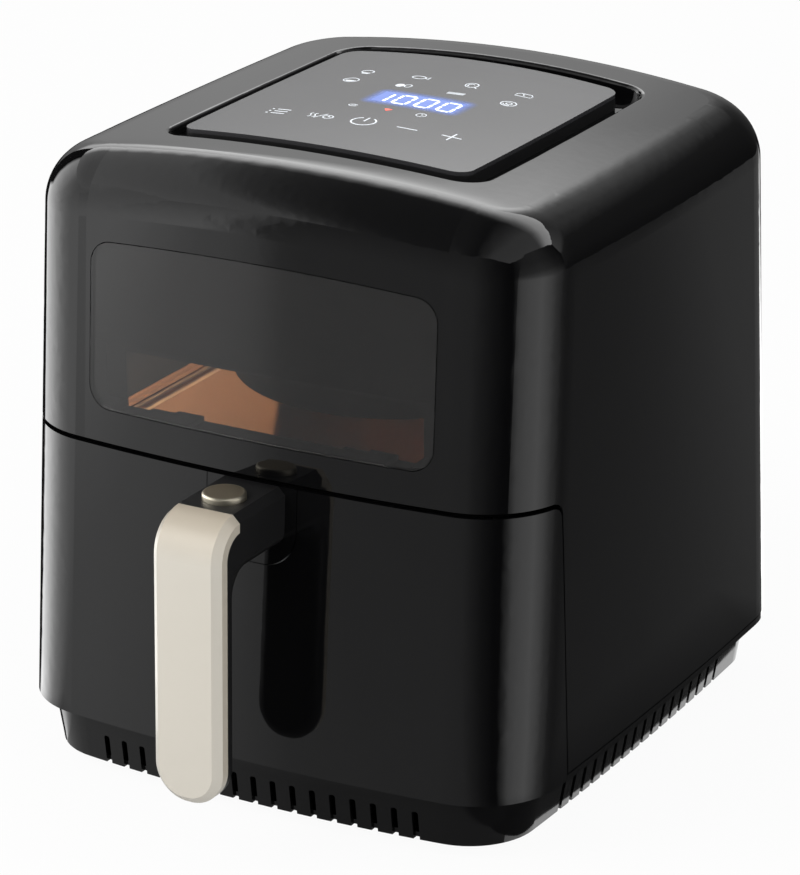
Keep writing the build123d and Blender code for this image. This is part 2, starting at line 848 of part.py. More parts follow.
def power_board():
    y = liner_back + standoff_length
    half = power_board_width / 2
    return box(-half, half, y, y + board_thickness, power_board_z, power_board_z + power_board_height)


def power_standoffs():
    z = power_board_z + power_board_height / 2
    return Compound([
        rod_y(x, liner_back, liner_back + standoff_length, z + dz, standoff_diameter)
        for x, dz in board_corners(power_board_width, power_board_height)
    ])


def power_components():
    y = liner_back + standoff_length + board_thickness
    low = power_board_z + wall
    top = power_board_z + power_board_height - wall
    half = relay_width / 2
    relay = box(-component_x - half, -component_x + half, y, y + relay_depth, low, low + relay_height)
    capacitor = rod_y(-component_x, y, y + capacitor_depth, top - capacitor_diameter, capacitor_diameter)
    choke = rod_y(0, y, y + choke_depth, low + choke_diameter, choke_diameter)
    half = driver_width / 2
    driver = box(component_x - half, component_x + half, y, y + driver_depth, low, low + driver_height)
    half = socket_width / 2
    socket = box(loom_x - half, loom_x + half, y, y + socket_depth, top - socket_height, top)
    return Compound([relay, capacitor, choke, driver, socket])


def wiring_loom():
    y = liner_back + standoff_length + board_thickness + loom_diameter / 2 + loom_gap
    low = power_board_z + power_board_height - wall
    level = moat_floor - wall - loom_drop
    points = [
        (loom_x, y, low),
        (loom_x, y, level),
        (loom_x, loom_top_y, level),
        (loom_x, loom_top_y, moat_floor + plinth_floor),
    ]
    path = FilletPolyline(*points, radius=loom_bend)
    return sweep(Plane(origin=path @ 0, z_dir=path % 0) * Circle(loom_diameter / 2), path=path)


def drawer_sensor():
    low = shell_front_edge + hair_gap
    return box(magnet_x - reed_case, magnet_x + reed_case, liner_front - reed_case, liner_front,
               low, low + reed_case)


def drawer_magnet():
    top = drawer_top - inner_panel_thickness
    y = panel_front - magnet_gap - magnet_diameter / 2
    return rod(magnet_x, y, top - magnet_thickness, top, magnet_diameter)


def front_prism(width, low, corner):
    block = box(-width / 2, width / 2, 2 * front_y, front_y / 2, low, drawer_top)
    edges = block.edges().filter_by(Axis.Y).sort_by(Axis.Z)[:2]
    return fillet(edges, corner)


def lever_passage():
    half = lever_width / 2 + passage_room
    low = latch_z - hook_depth - passage_room
    return box(-half, half, pivot_y, fan_y, low, lever_top + hook_depth + passage_room)


def handle_screw_spots():
    x = cavity_half + arm_wall
    return [(side * x, z) for side in (-1, 1) for z in (arm_bottom + screw_rise, drawer_top - 2 * arm_wall)]


def screw_holes(diameter):
    return [rod_y(x, 2 * front_y, 0, z, diameter) for x, z in handle_screw_spots()]


def drawer_front():
    front = skin & drawer_region(0, 0, 0)
    return front - front_prism(flange_width + 2 * hair_gap, drawer_top - flange_height - hair_gap,
                               flange_corner + hair_gap)


def handle_flange():
    flange = skin & front_prism(flange_width, drawer_top - flange_height, flange_corner)
    return flange - lever_passage() - screw_holes(handle_screw + 2 * screw_clearance)


def handle_bracket():
    low = drawer_top - flange_height - flange_corner / 2
    plate = front_prism(flange_width + flange_corner, low, flange_corner)
    plate &= box(-far, far, -far, far, -far, drawer_top - inner_panel_thickness - hair_gap)
    plate &= inner_form
    plate -= body_form(wall + bracket_plate, drawer_bottom - wall, False)
    return plate - lever_passage() - screw_holes(handle_screw + 2 * screw_clearance)


def front_surface(z, inset):
    return front_y - tan(radians(front_draft)) * (seam_z - z) + inset


def handle_screws():
    screws = []
    for x, z in handle_screw_spots():
        seat = front_surface(z, wall + bracket_plate + screw_seat)
        screw = rod_y(x, seat - screw_reach, seat, z, handle_screw)
        screws.append(screw + rod_y(x, seat, seat + screw_head_height, z, screw_head))
    return Compound(screws)


def handle_block():
    lean = tan(radians(handle_lean))
    top = drawer_top
    low = drawer_bottom + grip_end_gap
    out_low = handle_front - lean * (top - low)
    inner_top = handle_front + grip_thickness - lean * arm_height
    points = [
        (0, top),
        (handle_front, top),
        (out_low, low),
        (out_low + grip_thickness, low),
        (inner_top, arm_bottom),
        (0, arm_bottom),
    ]
    block = extrude(make_face(Plane.YZ * Polyline(*points, close=True)), handle_width / 2, both=True)
    across = block.edges().filter_by(Axis.X)
    block = fillet(across.sort_by_distance((0, inner_top, arm_bottom))[0], inner_bend)
    across = block.edges().filter_by(Axis.X)
    block = fillet(across.sort_by_distance((0, handle_front, top))[0], outer_bend)
    ends = block.edges().filter_by(Axis.Y).sort_by(Axis.Z)[:2]
    return fillet(ends, handle_width / 2 - grip_end_flat)


def outer_chain(block):
    inner = handle_front + grip_thickness / 2
    chain = []
    for edge in block.edges():
        middle = edge @ 0.5
        on_side = abs(abs(middle.X) - handle_width / 2) < touch
        on_top = abs(middle.Z - drawer_top) < touch
        at_front = middle.Y < inner
        across = abs(middle.X) < touch and middle.Z > arm_bottom
        if (on_side and (on_top or at_front)) or (at_front and middle.Z < arm_bottom and not across):
            chain.append(edge)
    return ShapeList(chain)


def inner_chain(block):
    inner = handle_front + grip_thickness / 2
    chain = []
    for edge in block.edges():
        middle = edge @ 0.5
        on_side = abs(abs(middle.X) - handle_width / 2) < touch
        below = middle.Z < drawer_top - arm_height / 2
        at_end = middle.Z < arm_bottom and abs((edge % 0.5).Y) < 0.5
        if middle.Y > inner and below and (on_side or at_end):
            chain.append(edge)
    return ShapeList(chain)


def cover_region():
    lean = tan(radians(handle_lean))
    low = drawer_bottom - handle_width
    depth = cover_depth
    top = drawer_top - depth
    front = handle_front + depth
    points = [
        (0, top),
        (front - lean * depth, top),
        (front - lean * (drawer_top - low), low),
        (0, low),
    ]
    kept = extrude(make_face(Plane.YZ * Polyline(*points, close=True)), handle_width, both=True)
    bend = kept.edges().filter_by(Axis.X).sort_by_distance((0, front, top))[0]
    kept = fillet(bend, outer_bend - depth)
    return box(-far, far, -far, cover_end_y, low, far) - kept


def handle_form():
    block = handle_block()
    block = chamfer(outer_chain(block), cover_chamfer)
    return fillet(inner_chain(block), core_round) - outer_form


def handle_cover():
    return handle_form() & cover_region()


def handle_core():
    core = handle_form() - cover_region()
    cavity_front = button_y - button_diameter / 2 - button_collar - button_clearance
    core -= box(-cavity_half, cavity_half, cavity_front, 0, arm_bottom + arm_wall, drawer_top - arm_wall)
    shelf = box(-cavity_half, cavity_half, cavity_front, button_y + spring_diameter,
                shelf_top - shelf_thickness, shelf_top)
    core += shelf - rod(0, button_y, arm_bottom, drawer_top, stem_diameter + 2 * button_clearance)
    core -= rod(0, button_y, collar_top, far, button_diameter + 2 * button_clearance)
    core -= rod_x(-cavity_half - pin_seat, cavity_half + pin_seat, pivot_y, pivot_z, lever_pin)
    return core - screw_holes(handle_screw + 2 * screw_clearance)


def button_cap():
    top = drawer_top + button_proud
    cap = rod(0, button_y, collar_bottom, top, button_diameter)
    cap = fillet(cap.faces().sort_by(Axis.Z)[-1].edges(), button_rim_round)
    return cap + rod(0, button_y, collar_bottom, collar_top, button_diameter + 2 * button_collar)


def button_stem():
    stem = rod(0, button_y, stem_bottom, collar_bottom, stem_diameter)
    return chamfer(stem.faces().sort_by(Axis.Z)[0].edges(), tip_chamfer)


def button_spring():
    low = shelf_top + spring_wire / 2
    height = shelf_drop - spring_wire
    helix = Helix(height / spring_turns, height, (spring_diameter - spring_wire) / 2)
    path = Pos(0, button_y, low) * helix
    start = Plane(origin=path @ 0, z_dir=path % 0)
    return sweep(start * Circle(spring_wire / 2), path=path, is_frenet=True)


def latch_lever():
    half = lever_width / 2
    low = lever_top - lever_thickness
    lever = box(-half, half, button_y - lever_tip, hook_y + hook_length / 2, low, lever_top)
    lever += rod_x(-half, half, pivot_y, pivot_z, lever_boss)
    lever += box(-hook_width / 2, hook_width / 2, hook_y - hook_length / 2, hook_y + hook_length / 2,
                 low - hook_depth, low)
    return lever - rod_x(-far, far, pivot_y, pivot_z, lever_pin + 2 * pin_clearance)


def latch_pin():
    reach = cavity_half + pin_seat
    return rod_x(-reach, reach, pivot_y, pivot_z, lever_pin)


def pan_latch_plate():
    half = latch_width / 2
    reach = hook_length / 2 + hook_clearance
    plate = box(-half, half, hook_y - 2 * reach, pan_front + pan_rim, latch_z - latch_plate, latch_z)
    side = hook_width / 2 + hook_clearance
    plate -= box(-side, side, hook_y - reach, hook_y + reach, arm_bottom, drawer_top)
    return plate - pan_form(0, pan_bottom)


def drawer_inner_panel():
    t = inner_panel_thickness
    panel = box(-far, far, panel_front, panel_rear, drawer_bottom, drawer_top)
    panel += box(-far, far, -far, panel_rear, drawer_top - t, drawer_top)
    panel += box(-far, far, -far, panel_rear, drawer_bottom, drawer_bottom + t)
    half = latch_width / 2 + hook_clearance
    low = latch_z - latch_plate - hook_clearance
    passage = box(-half, half, panel_front - overcut, panel_rear + overcut, low, lever_top + hook_clearance)
    return (panel & inner_form) - passage


def drawer_seal():
    rear = liner_front - seal_gap
    outer = liner_half + liner_flange
    inner = liner_half + hair_gap
    low = liner_bottom - seal_drop
    seal = box(-outer, outer, panel_rear, rear, low, drawer_top - inner_panel_thickness)
    return seal - box(-inner, inner, panel_rear - overcut, rear + overcut, liner_floor, far)


def pan_outline(z, inset):
    shrink = tan(radians(pan_draft)) * (pan_top - z) + inset
    face = RectangleRounded(2 * (pan_half - shrink), pan_rear - pan_front - 2 * shrink, pan_corner - inset)
    return Pos(0, pan_middle_y, z) * face


def pan_form(inset, z_low):
    form = loft([pan_outline(z_low, inset), pan_outline(pan_top + inset, inset)], ruled=True)
    return fillet(form.faces().sort_by(Axis.Z)[0].edges(), pan_foot_round - inset)


def fry_pan():
    pan = pan_form(0, pan_bottom)
    rim = Pos(0, (panel_rear + pan_back) / 2, pan_top - pan_wall)
    rim *= RectangleRounded(2 * pan_rim_half, pan_back - panel_rear, pan_rim)
    pan += extrude(rim, pan_wall)
    return pan - pan_form(pan_wall, pan_bottom + pan_wall)


def crisper_size():
    shrink = tan(radians(pan_draft)) * (pan_top - crisper_z) + pan_wall + crisper_gap
    return 2 * (pan_half - shrink), pan_rear - pan_front - 2 * shrink


def crisper_plate():
    width, length = crisper_size()
    face = RectangleRounded(width, length, crisper_corner)
    across = int((width - crisper_pitch) // crisper_pitch)
    along = int((length - crisper_pitch) // crisper_pitch)
    face -= GridLocations(crisper_pitch, crisper_pitch, across, along) * Circle(crisper_hole / 2)
    plate = extrude(Pos(0, pan_middle_y, crisper_z) * face, crisper_thickness)
    for sx in (-1, 1):
        for sy in (-1, 1):
            x = sx * (width / 2 - crisper_leg_inset)
            y = pan_middle_y + sy * (length / 2 - crisper_leg_inset)
            plate += rod(x, y, pan_bottom + pan_wall + crisper_seat, crisper_z, crisper_leg)
    return plate


def crisper_bumpers():
    width, length = crisper_size()
    plate = crisper_plate()
    low = crisper_z - (bumper_height - crisper_thickness) / 2
    reach = crisper_gap - bumper_gap
    half = bumper_width / 2
    bumpers = []
    for side in (-1, 1):
        edge = side * width / 2
        xs = sorted((edge - side * reach, edge + side * reach))
        bumpers.append(box(xs[0], xs[1], pan_middle_y - half, pan_middle_y + half, low, low + bumper_height))
        edge = pan_middle_y + side * length / 2
        ys = sorted((edge - side * reach, edge + side * reach))
        bumpers.append(box(-half, half, ys[0], ys[1], low, low + bumper_height))
    return Compound([solid for bumper in bumpers for solid in (bumper - plate).solids()])


def pan_rail_left():
    return pan_rail(-1)


def pan_rail_right():
    return pan_rail(1)


makers = [
    outer_shell, base_pan, base_screws, rubber_feet, window_glass, window_frame,
    control_panel, panel_plinth, control_board, display_module,
    chamber_liner, pan_rail_left, pan_rail_right, heater_coil, heater_clips, fan_guard,
    chamber_lamp, lamp_lens, temperature_sensor, thermal_fuse,
    motor_bracket, fan_motor, motor_screws, fan_shaft, hot_air_fan, cooling_fan, fan_nut,
    exhaust_duct, rear_grille, cord_gland, power_board, power_standoffs, power_components,
    wiring_loom, drawer_sensor, drawer_magnet,
    drawer_front, drawer_inner_panel, drawer_seal, fry_pan, pan_latch_plate,
    handle_flange, handle_bracket, handle_screws, handle_core, handle_cover,
    button_cap, button_stem, button_spring, latch_lever, latch_pin,
    crisper_plate, crisper_bumpers,
]

# The stored frame has its origin on the floor, in the middle of the whole object.
shapes = [(make.__name__, make()) for make in makers]
front_end = min(shape.bounding_box().min.Y for name, shape in shapes)
back_end = max(shape.bounding_box().max.Y for name, shape in shapes)
centred = Pos(0, -(front_end + back_end) / 2, 0)
print("shift in Y", -(front_end + back_end) / 2)

os.makedirs("parts", exist_ok=True)
for name, shape in shapes:
    export_step(centred * shape, f"parts/{name}.step")
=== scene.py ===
import json
import math

import bmesh
import bpy
from mathutils import Matrix, Vector


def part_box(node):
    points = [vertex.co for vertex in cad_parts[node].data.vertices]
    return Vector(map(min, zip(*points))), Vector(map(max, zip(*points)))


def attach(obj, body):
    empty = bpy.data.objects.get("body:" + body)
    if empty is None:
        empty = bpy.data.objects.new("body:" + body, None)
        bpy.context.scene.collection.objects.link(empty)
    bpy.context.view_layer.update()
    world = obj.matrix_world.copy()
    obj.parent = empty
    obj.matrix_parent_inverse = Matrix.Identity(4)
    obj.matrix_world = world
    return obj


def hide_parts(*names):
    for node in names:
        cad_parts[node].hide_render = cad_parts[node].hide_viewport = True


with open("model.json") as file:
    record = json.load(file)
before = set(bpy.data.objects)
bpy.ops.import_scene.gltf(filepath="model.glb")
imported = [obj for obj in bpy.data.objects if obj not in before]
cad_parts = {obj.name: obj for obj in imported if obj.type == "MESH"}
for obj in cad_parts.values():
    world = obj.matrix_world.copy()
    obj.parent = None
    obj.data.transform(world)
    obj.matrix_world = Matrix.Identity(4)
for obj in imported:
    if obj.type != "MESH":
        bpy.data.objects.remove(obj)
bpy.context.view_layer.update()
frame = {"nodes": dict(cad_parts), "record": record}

nodes = frame["nodes"]
mm = 0.001
low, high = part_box("rubber_feet")
bodyMiddle = (low[1] + high[1]) / 2 / mm     # mm, the body's own middle along Y
print("frame loaded:", len(nodes), "nodes")


class Val:
    # a socket that can be written in sums; add() makes any other node

    def __init__(self, tree, socket=None):
        self.tree = tree
        self.socket = socket

    def add(self, kind, settings=None, values=None, out=0):
        node = self.tree.nodes.new(kind)
        for name, value in (settings or {}).items():
            if name == "stops":
                ramp = node.color_ramp
                while len(ramp.elements) < len(value):
                    ramp.elements.new(0.5)
                for element, (place, colour) in zip(ramp.elements, value):
                    element.position = place
                    element.color = colour if len(colour) == 4 else (*colour, 1.0)
            else:
                setattr(node, name, value)
        for key, value in (values or {}).items():
            if isinstance(value, Val):
                self.tree.links.new(value.socket, node.inputs[key])
            else:
                node.inputs[key].default_value = value
        return Val(self.tree, node.outputs[out])

    def math(self, operation, first, second=0.0):
        return self.add("ShaderNodeMath", {"operation": operation}, {0: first, 1: second})

    def __add__(self, other):
        return self.math("ADD", self, other)

    __radd__ = __add__

    def __mul__(self, other):
        return self.math("MULTIPLY", self, other)

    __rmul__ = __mul__

    def __sub__(self, other):
        return self.math("SUBTRACT", self, other)

    def __rsub__(self, other):
        return self.math("SUBTRACT", other, self)

    def __truediv__(self, other):
        return self.math("DIVIDE", self, other)

    def __pow__(self, other):
        return self.math("POWER", self, other)

    def clamped(self):
        return self.math("MINIMUM", self.math("MAXIMUM", self, 0.0), 1.0)

    def mix(self, low, high):
        # colour between low and high, by this value
        return self.add("ShaderNodeMix", {"data_type": "RGBA"}, {0: self, 6: low, 7: high}, 2)

    def split(self, place):
        # the three parts of a vector
        x = self.add("ShaderNodeSeparateXYZ", {}, {0: place}, "X")
        parts = x.socket.node.outputs
        return x, Val(self.tree, parts["Y"]), Val(self.tree, parts["Z"])

    def noise(self, place, scale, detail=2.0, roughness=0.5):
        values = {"Vector": place, "Scale": scale, "Detail": detail, "Roughness": roughness}
        return self.add("ShaderNodeTexNoise", {}, values)

    def ramp(self, stops):
        return self.add("ShaderNodeValToRGB", {"stops": stops}, {0: self})

    def bump(self, height, distance, strength=1.0):
        values = {"Height": height, "Distance": distance, "Strength": strength}
        return self.add("ShaderNodeBump", {}, values)


def rgba(colour):
    return (*colour, 1.0)


def linkOutput(tree, shader, kind="ShaderNodeOutputMaterial"):
    output = tree.nodes.new(kind)
    tree.links.new(shader.socket, output.inputs["Surface"])


def linkObject(name, data):
    thing = bpy.data.objects.new(name, data)
    bpy.context.scene.collection.objects.link(thing)
    return thing


def newMaterial(name):
    material = bpy.data.materials.new(name)
    material.use_nodes = True
    material.node_tree.nodes.clear()
    root = Val(material.node_tree)
    place = root.add("ShaderNodeTexCoord", out="Object")
    return material, root, place


def closeMaterial(material, root, values):
    linkOutput(material.node_tree, root.add("ShaderNodeBsdfPrincipled", {}, values, "BSDF"))
    return material


glossBlackLook = {"colour": (0.0020, 0.0020, 0.0022), "haze": (0.0034, 0.0034, 0.0037), "roughness": 0.025,
                  "smear": 0.03, "peelScale": 160.0, "peelDepth": 0.00002}


def makeGlossBlack(name, look):
    # polished black moulding: faint haze, smears in the gloss, a trace of orange peel
    material, root, place = newMaterial(name)
    haze = root.noise(place, 9.0, 3.0)
    smear = root.noise(place, 26.0, 4.0, 0.6)
    height = root.noise(place, look["peelScale"], 2.0) * (look["peelDepth"] * 0.6)
    if "lead" in look:
        # the front of the crown eases into its round: a shallow hollow along the edge bends the gloss
        lead = look["lead"]
        x, y, _ = root.split(place)
        inside = ((lead["half"] - root.math("ABSOLUTE", x)) / lead["fade"]).clamped()
        away = (y - lead["middle"]) / lead["reach"]
        height = height - root.math("EXPONENT", away * away * -1.0) * inside * lead["depth"]
    return closeMaterial(material, root, {
        "Base Color": haze.mix(rgba(look["colour"]), rgba(look["haze"])),
        "Roughness": look["roughness"] + smear ** 2.0 * look["smear"],
        "IOR": 1.48,
        "Normal": root.bump(height, 1.0),
    })


grainLooks = {
    "satinBlack": {"colour": (0.007, 0.007, 0.0075), "lift": (0.012, 0.012, 0.0125), "roughness": 0.40,
                   "scale": 2600.0, "depth": 0.00006},
    "handleCharcoal": {"colour": (0.009, 0.009, 0.0095), "lift": (0.014, 0.014, 0.0145), "roughness": 0.34,
                       "scale": 3200.0, "depth": 0.00003},
    "frameBlack": {"colour": (0.004, 0.004, 0.0042), "lift": (0.0055, 0.0055, 0.0058), "roughness": 0.80,
                   "scale": 300.0, "depth": 0.000001, "specular": 0.05},
    "softRubber": {"colour": (0.014, 0.014, 0.014), "lift": (0.026, 0.026, 0.025), "roughness": 0.70,
                   "scale": 1500.0, "depth": 0.00008},
    "sealRubber": {"colour": (0.020, 0.020, 0.021), "lift": (0.034, 0.033, 0.033), "roughness": 0.62,
                   "scale": 1300.0, "depth": 0.00006},
    "caseBlack": {"colour": (0.018, 0.018, 0.020), "lift": (0.032, 0.031, 0.031), "roughness": 0.5,
                  "scale": 1800.0, "depth": 0.00005},
    "loomSleeve": {"colour": (0.012, 0.012, 0.012), "lift": (0.045, 0.045, 0.045), "roughness": 0.75,
                   "scale": 900.0, "depth": 0.0002},
}


def makeGrained(name, look):
    # moulded grain: a fine pebble in the surface, with small changes of tone and gloss
    material, root, place = newMaterial(name)
    tone = root.noise(place, 40.0, 3.0)
    pebble = root.noise(place, look["scale"], 3.0, 0.55)
    return closeMaterial(material, root, {
        "Base Color": tone.mix(rgba(look["colour"]), rgba(look["lift"])),
        "Roughness": look["roughness"] + (pebble - 0.5) * 0.22,
        "Specular IOR Level": look.get("specular", 0.5),
        "Normal": root.bump(pebble, look["depth"], 0.8),
    })


# The tan colour and the top and flank shares below are painted shade on the cover's top and flanks.
champagneLook = {"colour": (0.690, 0.650, 0.568), "warm": (0.740, 0.702, 0.620), "tan": (0.430, 0.350, 0.245),
                 "flakeScale": 5200.0, "roughness": 0.34, "flankShadeStart": 0.72, "flankShadeGain": 1.4, "topShadeShare": 0.66}


def makeChampagne(name, look):
    # satin champagne lacquer: fine pearl flakes under a clear coat
    material, root, place = newMaterial(name)
    flake = root.noise(place, look["flakeScale"], 1.0)
    cloud = root.noise(place, 22.0, 2.0)
    tone = (cloud * 0.5 + flake * 0.5).mix(rgba(look["colour"]), rgba(look["warm"]))
    facing = root.add("ShaderNodeTexCoord", out="Normal")
    sideways, _, upwards = root.split(facing)
    edge = root.math("MAXIMUM", root.math("ABSOLUTE", sideways) - look["flankShadeStart"], 0.0) * look["flankShadeGain"]
    paintedShade = (upwards * look["topShadeShare"] + edge).clamped()        # painted shade: the top and the flanks are painted a darker tan
    return closeMaterial(material, root, {
        "Base Color": paintedShade.mix(tone, rgba(look["tan"])),
        "Roughness": look["roughness"] + (flake - 0.5) * 0.14,
        "Metallic": 0.06,
        "Coat Weight": 0.25,
        "Coat Roughness": 0.18,
        "Normal": root.bump(flake, 0.000012, 0.5),
    })


buttonLook = {"centre": (0.0, bodyMiddle - 170.3), "colour": (0.66, 0.565, 0.41),
              "bright": (0.88, 0.81, 0.65), "ringScale": 900.0, "highlightRadius": 8.6, "highlightSharpness": 900.0,
              "roughness": 0.32}


def makeButtonMetal(name, look):
    # turned champagne metal: fine rings about the button's axis, and a painted highlight: the rim is painted a
    # brighter champagne
    material, root, place = newMaterial(name)
    x, y = (v * mm for v in look["centre"])
    moved = root.add("ShaderNodeMapping", {}, {"Vector": place, "Location": (-x, -y, 0.0)})
    ring = root.add("ShaderNodeTexWave", {"wave_type": "RINGS", "rings_direction": "Z"},
                    {"Vector": moved, "Scale": look["ringScale"], "Distortion": 0.6, "Detail": 2.0}, 1)
    outX, outY, _ = root.split(moved)
    radius = (outX * outX + outY * outY) ** 0.5
    # painted highlight: beyond this radius the rim is painted brighter
    rim = ((radius - look["highlightRadius"] * mm) * look["highlightSharpness"]).clamped()
    return closeMaterial(material, root, {
        "Base Color": rim.mix(rgba(look["colour"]), rgba(look["bright"])),
        "Roughness": look["roughness"] + ring * 0.12,
        "Metallic": 1.0,
        "Normal": root.bump(ring, 0.000008, 0.5),
    })


metalLooks = {
    "platedSteel": {"colour": (0.52, 0.52, 0.51), "bright": (0.66, 0.66, 0.65), "roughness": 0.30,
                    "streak": (8.0, 300.0, 300.0)},
    "linerSteel": {"colour": (0.42, 0.41, 0.40), "bright": (0.58, 0.57, 0.55), "roughness": 0.34,
                   "streak": (300.0, 6.0, 300.0)},
    "heaterSteel": {"colour": (0.11, 0.10, 0.10), "bright": (0.26, 0.21, 0.18), "roughness": 0.46,
                    "streak": (60.0, 60.0, 60.0)},
    "bareAluminium": {"colour": (0.62, 0.62, 0.63), "bright": (0.76, 0.76, 0.76), "roughness": 0.36,
                      "streak": (120.0, 120.0, 20.0)},
}


def makeMetal(name, look):
    # sheet or drawn metal: streaks along the working direction
    material, root, place = newMaterial(name)
    drawn = root.add("ShaderNodeMapping", {}, {"Vector": place, "Scale": look["streak"]})
    streak = root.noise(drawn, 4.0, 4.0, 0.6)
    stain = root.noise(place, 30.0, 2.0)
    tone = streak * 0.7 + stain * 0.3
    return closeMaterial(material, root, {
        "Base Color": tone.mix(rgba(look["colour"]), rgba(look["bright"])),
        "Roughness": look["roughness"] + (streak - 0.5) * 0.24,
        "Metallic": 1.0,
        "Normal": root.bump(streak, 0.00001, 0.5),
    })


panLook = {"colour": (0.46, 0.255, 0.145), "bright": (0.58, 0.345, 0.205), "speck": (0.30, 0.165, 0.09),
           "roughness": 0.38, "metallic": 0.35}
# painted highlight: the rim beads are painted a pale copper so that they read as a lit streak
rimHighlightLook = {"colour": (0.86, 0.62, 0.40), "bright": (0.95, 0.74, 0.50), "speck": (0.80, 0.56, 0.35),
           "roughness": 0.30, "metallic": 0.0}


def makePanCoating(name, look):
    # copper-toned non-stick coating: fine specks, a slight ripple
    material, root, place = newMaterial(name)
    cloud = root.noise(place, 18.0, 3.0)
    grain = root.noise(place, 1400.0, 2.0)
    speck = ((grain - 0.62) * 8.0).clamped()
    tone = cloud.mix(rgba(look["colour"]), rgba(look["bright"]))
    return closeMaterial(material, root, {
        "Base Color": speck.mix(tone, rgba(look["speck"])),
        "Roughness": look["roughness"] + (grain - 0.5) * 0.2,
        "Metallic": look["metallic"],
        "Normal": root.bump(grain, 0.00003, 0.5),
    })


enamelLook = {"colour": (0.006, 0.006, 0.006), "speck": (0.030, 0.030, 0.031), "roughness": 0.66}


def makeEnamel(name, look):
    # black heat-proof enamel with pale specks
    material, root, place = newMaterial(name)
    cells = root.add("ShaderNodeTexVoronoi", {}, {"Vector": place, "Scale": 520.0})
    speck = 1.0 - ((cells - 0.12) * 14.0).clamped()
    wave = root.noise(place, 70.0, 3.0)
    return closeMaterial(material, root, {
        "Base Color": speck.mix(rgba(look["colour"]), rgba(look["speck"])),
        "Roughness": look["roughness"] + (wave - 0.5) * 0.16,
        "Specular IOR Level": 0.25,
        "Normal": root.bump(speck, 0.00001, 0.4),
    })


panelLook = {"colour": (0.030, 0.030, 0.032), "lift": (0.050, 0.050, 0.053), "roughness": 0.24}


def makePanelGlass(name, look):
    # dark touch glass with an etched, satin top
    material, root, place = newMaterial(name)
    cloud = root.noise(place, 14.0, 3.0)
    etch = root.noise(place, 4200.0, 2.0)
    return closeMaterial(material, root, {
        "Base Color": cloud.mix(rgba(look["colour"]), rgba(look["lift"])),
        "Roughness": look["roughness"] + (etch - 0.5) * 0.10 + (cloud - 0.5) * 0.05,
        "IOR": 1.52,
        "Normal": root.bump(etch, 0.000006, 0.5),
    })


smokedLook = {"tint": (0.40, 0.39, 0.385), "smear": (0.33, 0.325, 0.32), "roughness": 0.02}


def makeSmokedGlass(name, look):
    # smoked window glass: tinted through, faint smears on the face, edges blacked
    material, root, place = newMaterial(name)
    smear = root.noise(place, 24.0, 4.0, 0.6)
    facing = root.add("ShaderNodeTexCoord", out="Normal")
    along = root.math("ABSOLUTE", root.split(facing)[1])
    edge = ((0.7 - along) * 6.0).clamped()
    tint = smear.mix(rgba(look["tint"]), rgba(look["smear"]))
    return closeMaterial(material, root, {
        "Base Color": edge.mix(tint, (0.0, 0.0, 0.0, 1.0)),
        "Roughness": look["roughness"] + smear ** 3.0 * 0.03,
        "Metallic": edge,
        "IOR": 1.5,
        "Transmission Weight": 1.0,
    })


lampLook = {"glass": (0.95, 0.85, 0.66), "glow": (1.0, 0.72, 0.42), "strength": 1.6}


def makeLampGlass(name, look):
    # frosted lamp lens with a warm glow
    material, root, place = newMaterial(name)
    frost = root.noise(place, 900.0, 2.0)
    return closeMaterial(material, root, {
        "Base Color": rgba(look["glass"]),
        "Roughness": 0.25 + frost * 0.2,
        "Emission Color": frost.mix(rgba(look["glow"]), rgba(look["glass"])),
        "Emission Strength": look["strength"],
    })


boardLook = {"colour": (0.010, 0.075, 0.035), "track": (0.025, 0.16, 0.075), "roughness": 0.32}


def makeBoard(name, look):
    # green lacquer over copper tracks
    material, root, place = newMaterial(name)
    patch = root.noise(place, 160.0, 1.0)
    track = ((patch - 0.5) * 14.0).clamped()
    return closeMaterial(material, root, {
        "Base Color": track.mix(rgba(look["colour"]), rgba(look["track"])),
        "Roughness": look["roughness"] + track * 0.1,
        "Normal": root.bump(track, 0.00003, 0.5),
    })


inkLooks = {
    "whiteInk": {"colour": (0.78, 0.82, 0.86), "glow": (0.75, 0.82, 0.90), "strength": 0.35},
    "redMark": {"colour": (0.85, 0.10, 0.07), "glow": (1.0, 0.16, 0.10), "strength": 0.7},
    "digitGlow": {"colour": (0.85, 0.90, 1.0), "glow": (0.82, 0.90, 1.0), "strength": 1.25},
}


def makeInk(name, look):
    # printed and lit marks on the touch glass
    material, root, place = newMaterial(name)
    grain = root.noise(place, 2400.0, 2.0)
    return closeMaterial(material, root, {
        "Base Color": (grain * 0.3).mix(rgba(look["colour"]), rgba(tuple(c * 0.7 for c in look["colour"]))),
        "Roughness": 0.45 + grain * 0.1,
        "Emission Color": (grain * 0.2).mix(rgba(look["glow"]), rgba(look["colour"])),
        "Emission Strength": look["strength"],
    })


haloLook = {"centre": (6.0, bodyMiddle + 0.5), "half": (21.5, 7.5), "fall": 6.5, "glow": (0.16, 0.27, 0.85),
            "strength": 0.9, "cover": 0.85}


def makeHalo(name, look):
    # blue light spreading under the glass around the digits, fading out to nothing
    material, root, place = newMaterial(name)
    x, y = (v * mm for v in look["centre"])
    halfX, halfY = (v * mm for v in look["half"])
    moved = root.add("ShaderNodeMapping", {}, {"Vector": place, "Location": (-x, -y, 0.0)})
    alongX, alongY, _ = root.split(moved)
    outX = root.math("MAXIMUM", root.math("ABSOLUTE", alongX) - halfX, 0.0)
    outY = root.math("MAXIMUM", root.math("ABSOLUTE", alongY) - halfY, 0.0)
    away = (outX * outX + outY * outY) ** 0.5
    cover = (1.0 - away / (look["fall"] * mm)).clamped() ** 1.6
    flicker = root.noise(place, 160.0, 2.0)
    return closeMaterial(material, root, {
        "Base Color": (0.02, 0.03, 0.08, 1.0),
        "Roughness": 0.5,
        "Emission Color": flicker.mix(rgba(look["glow"]), (0.26, 0.40, 1.0, 1.0)),
        "Emission Strength": look["strength"],
        "Alpha": cover * look["cover"],
    })


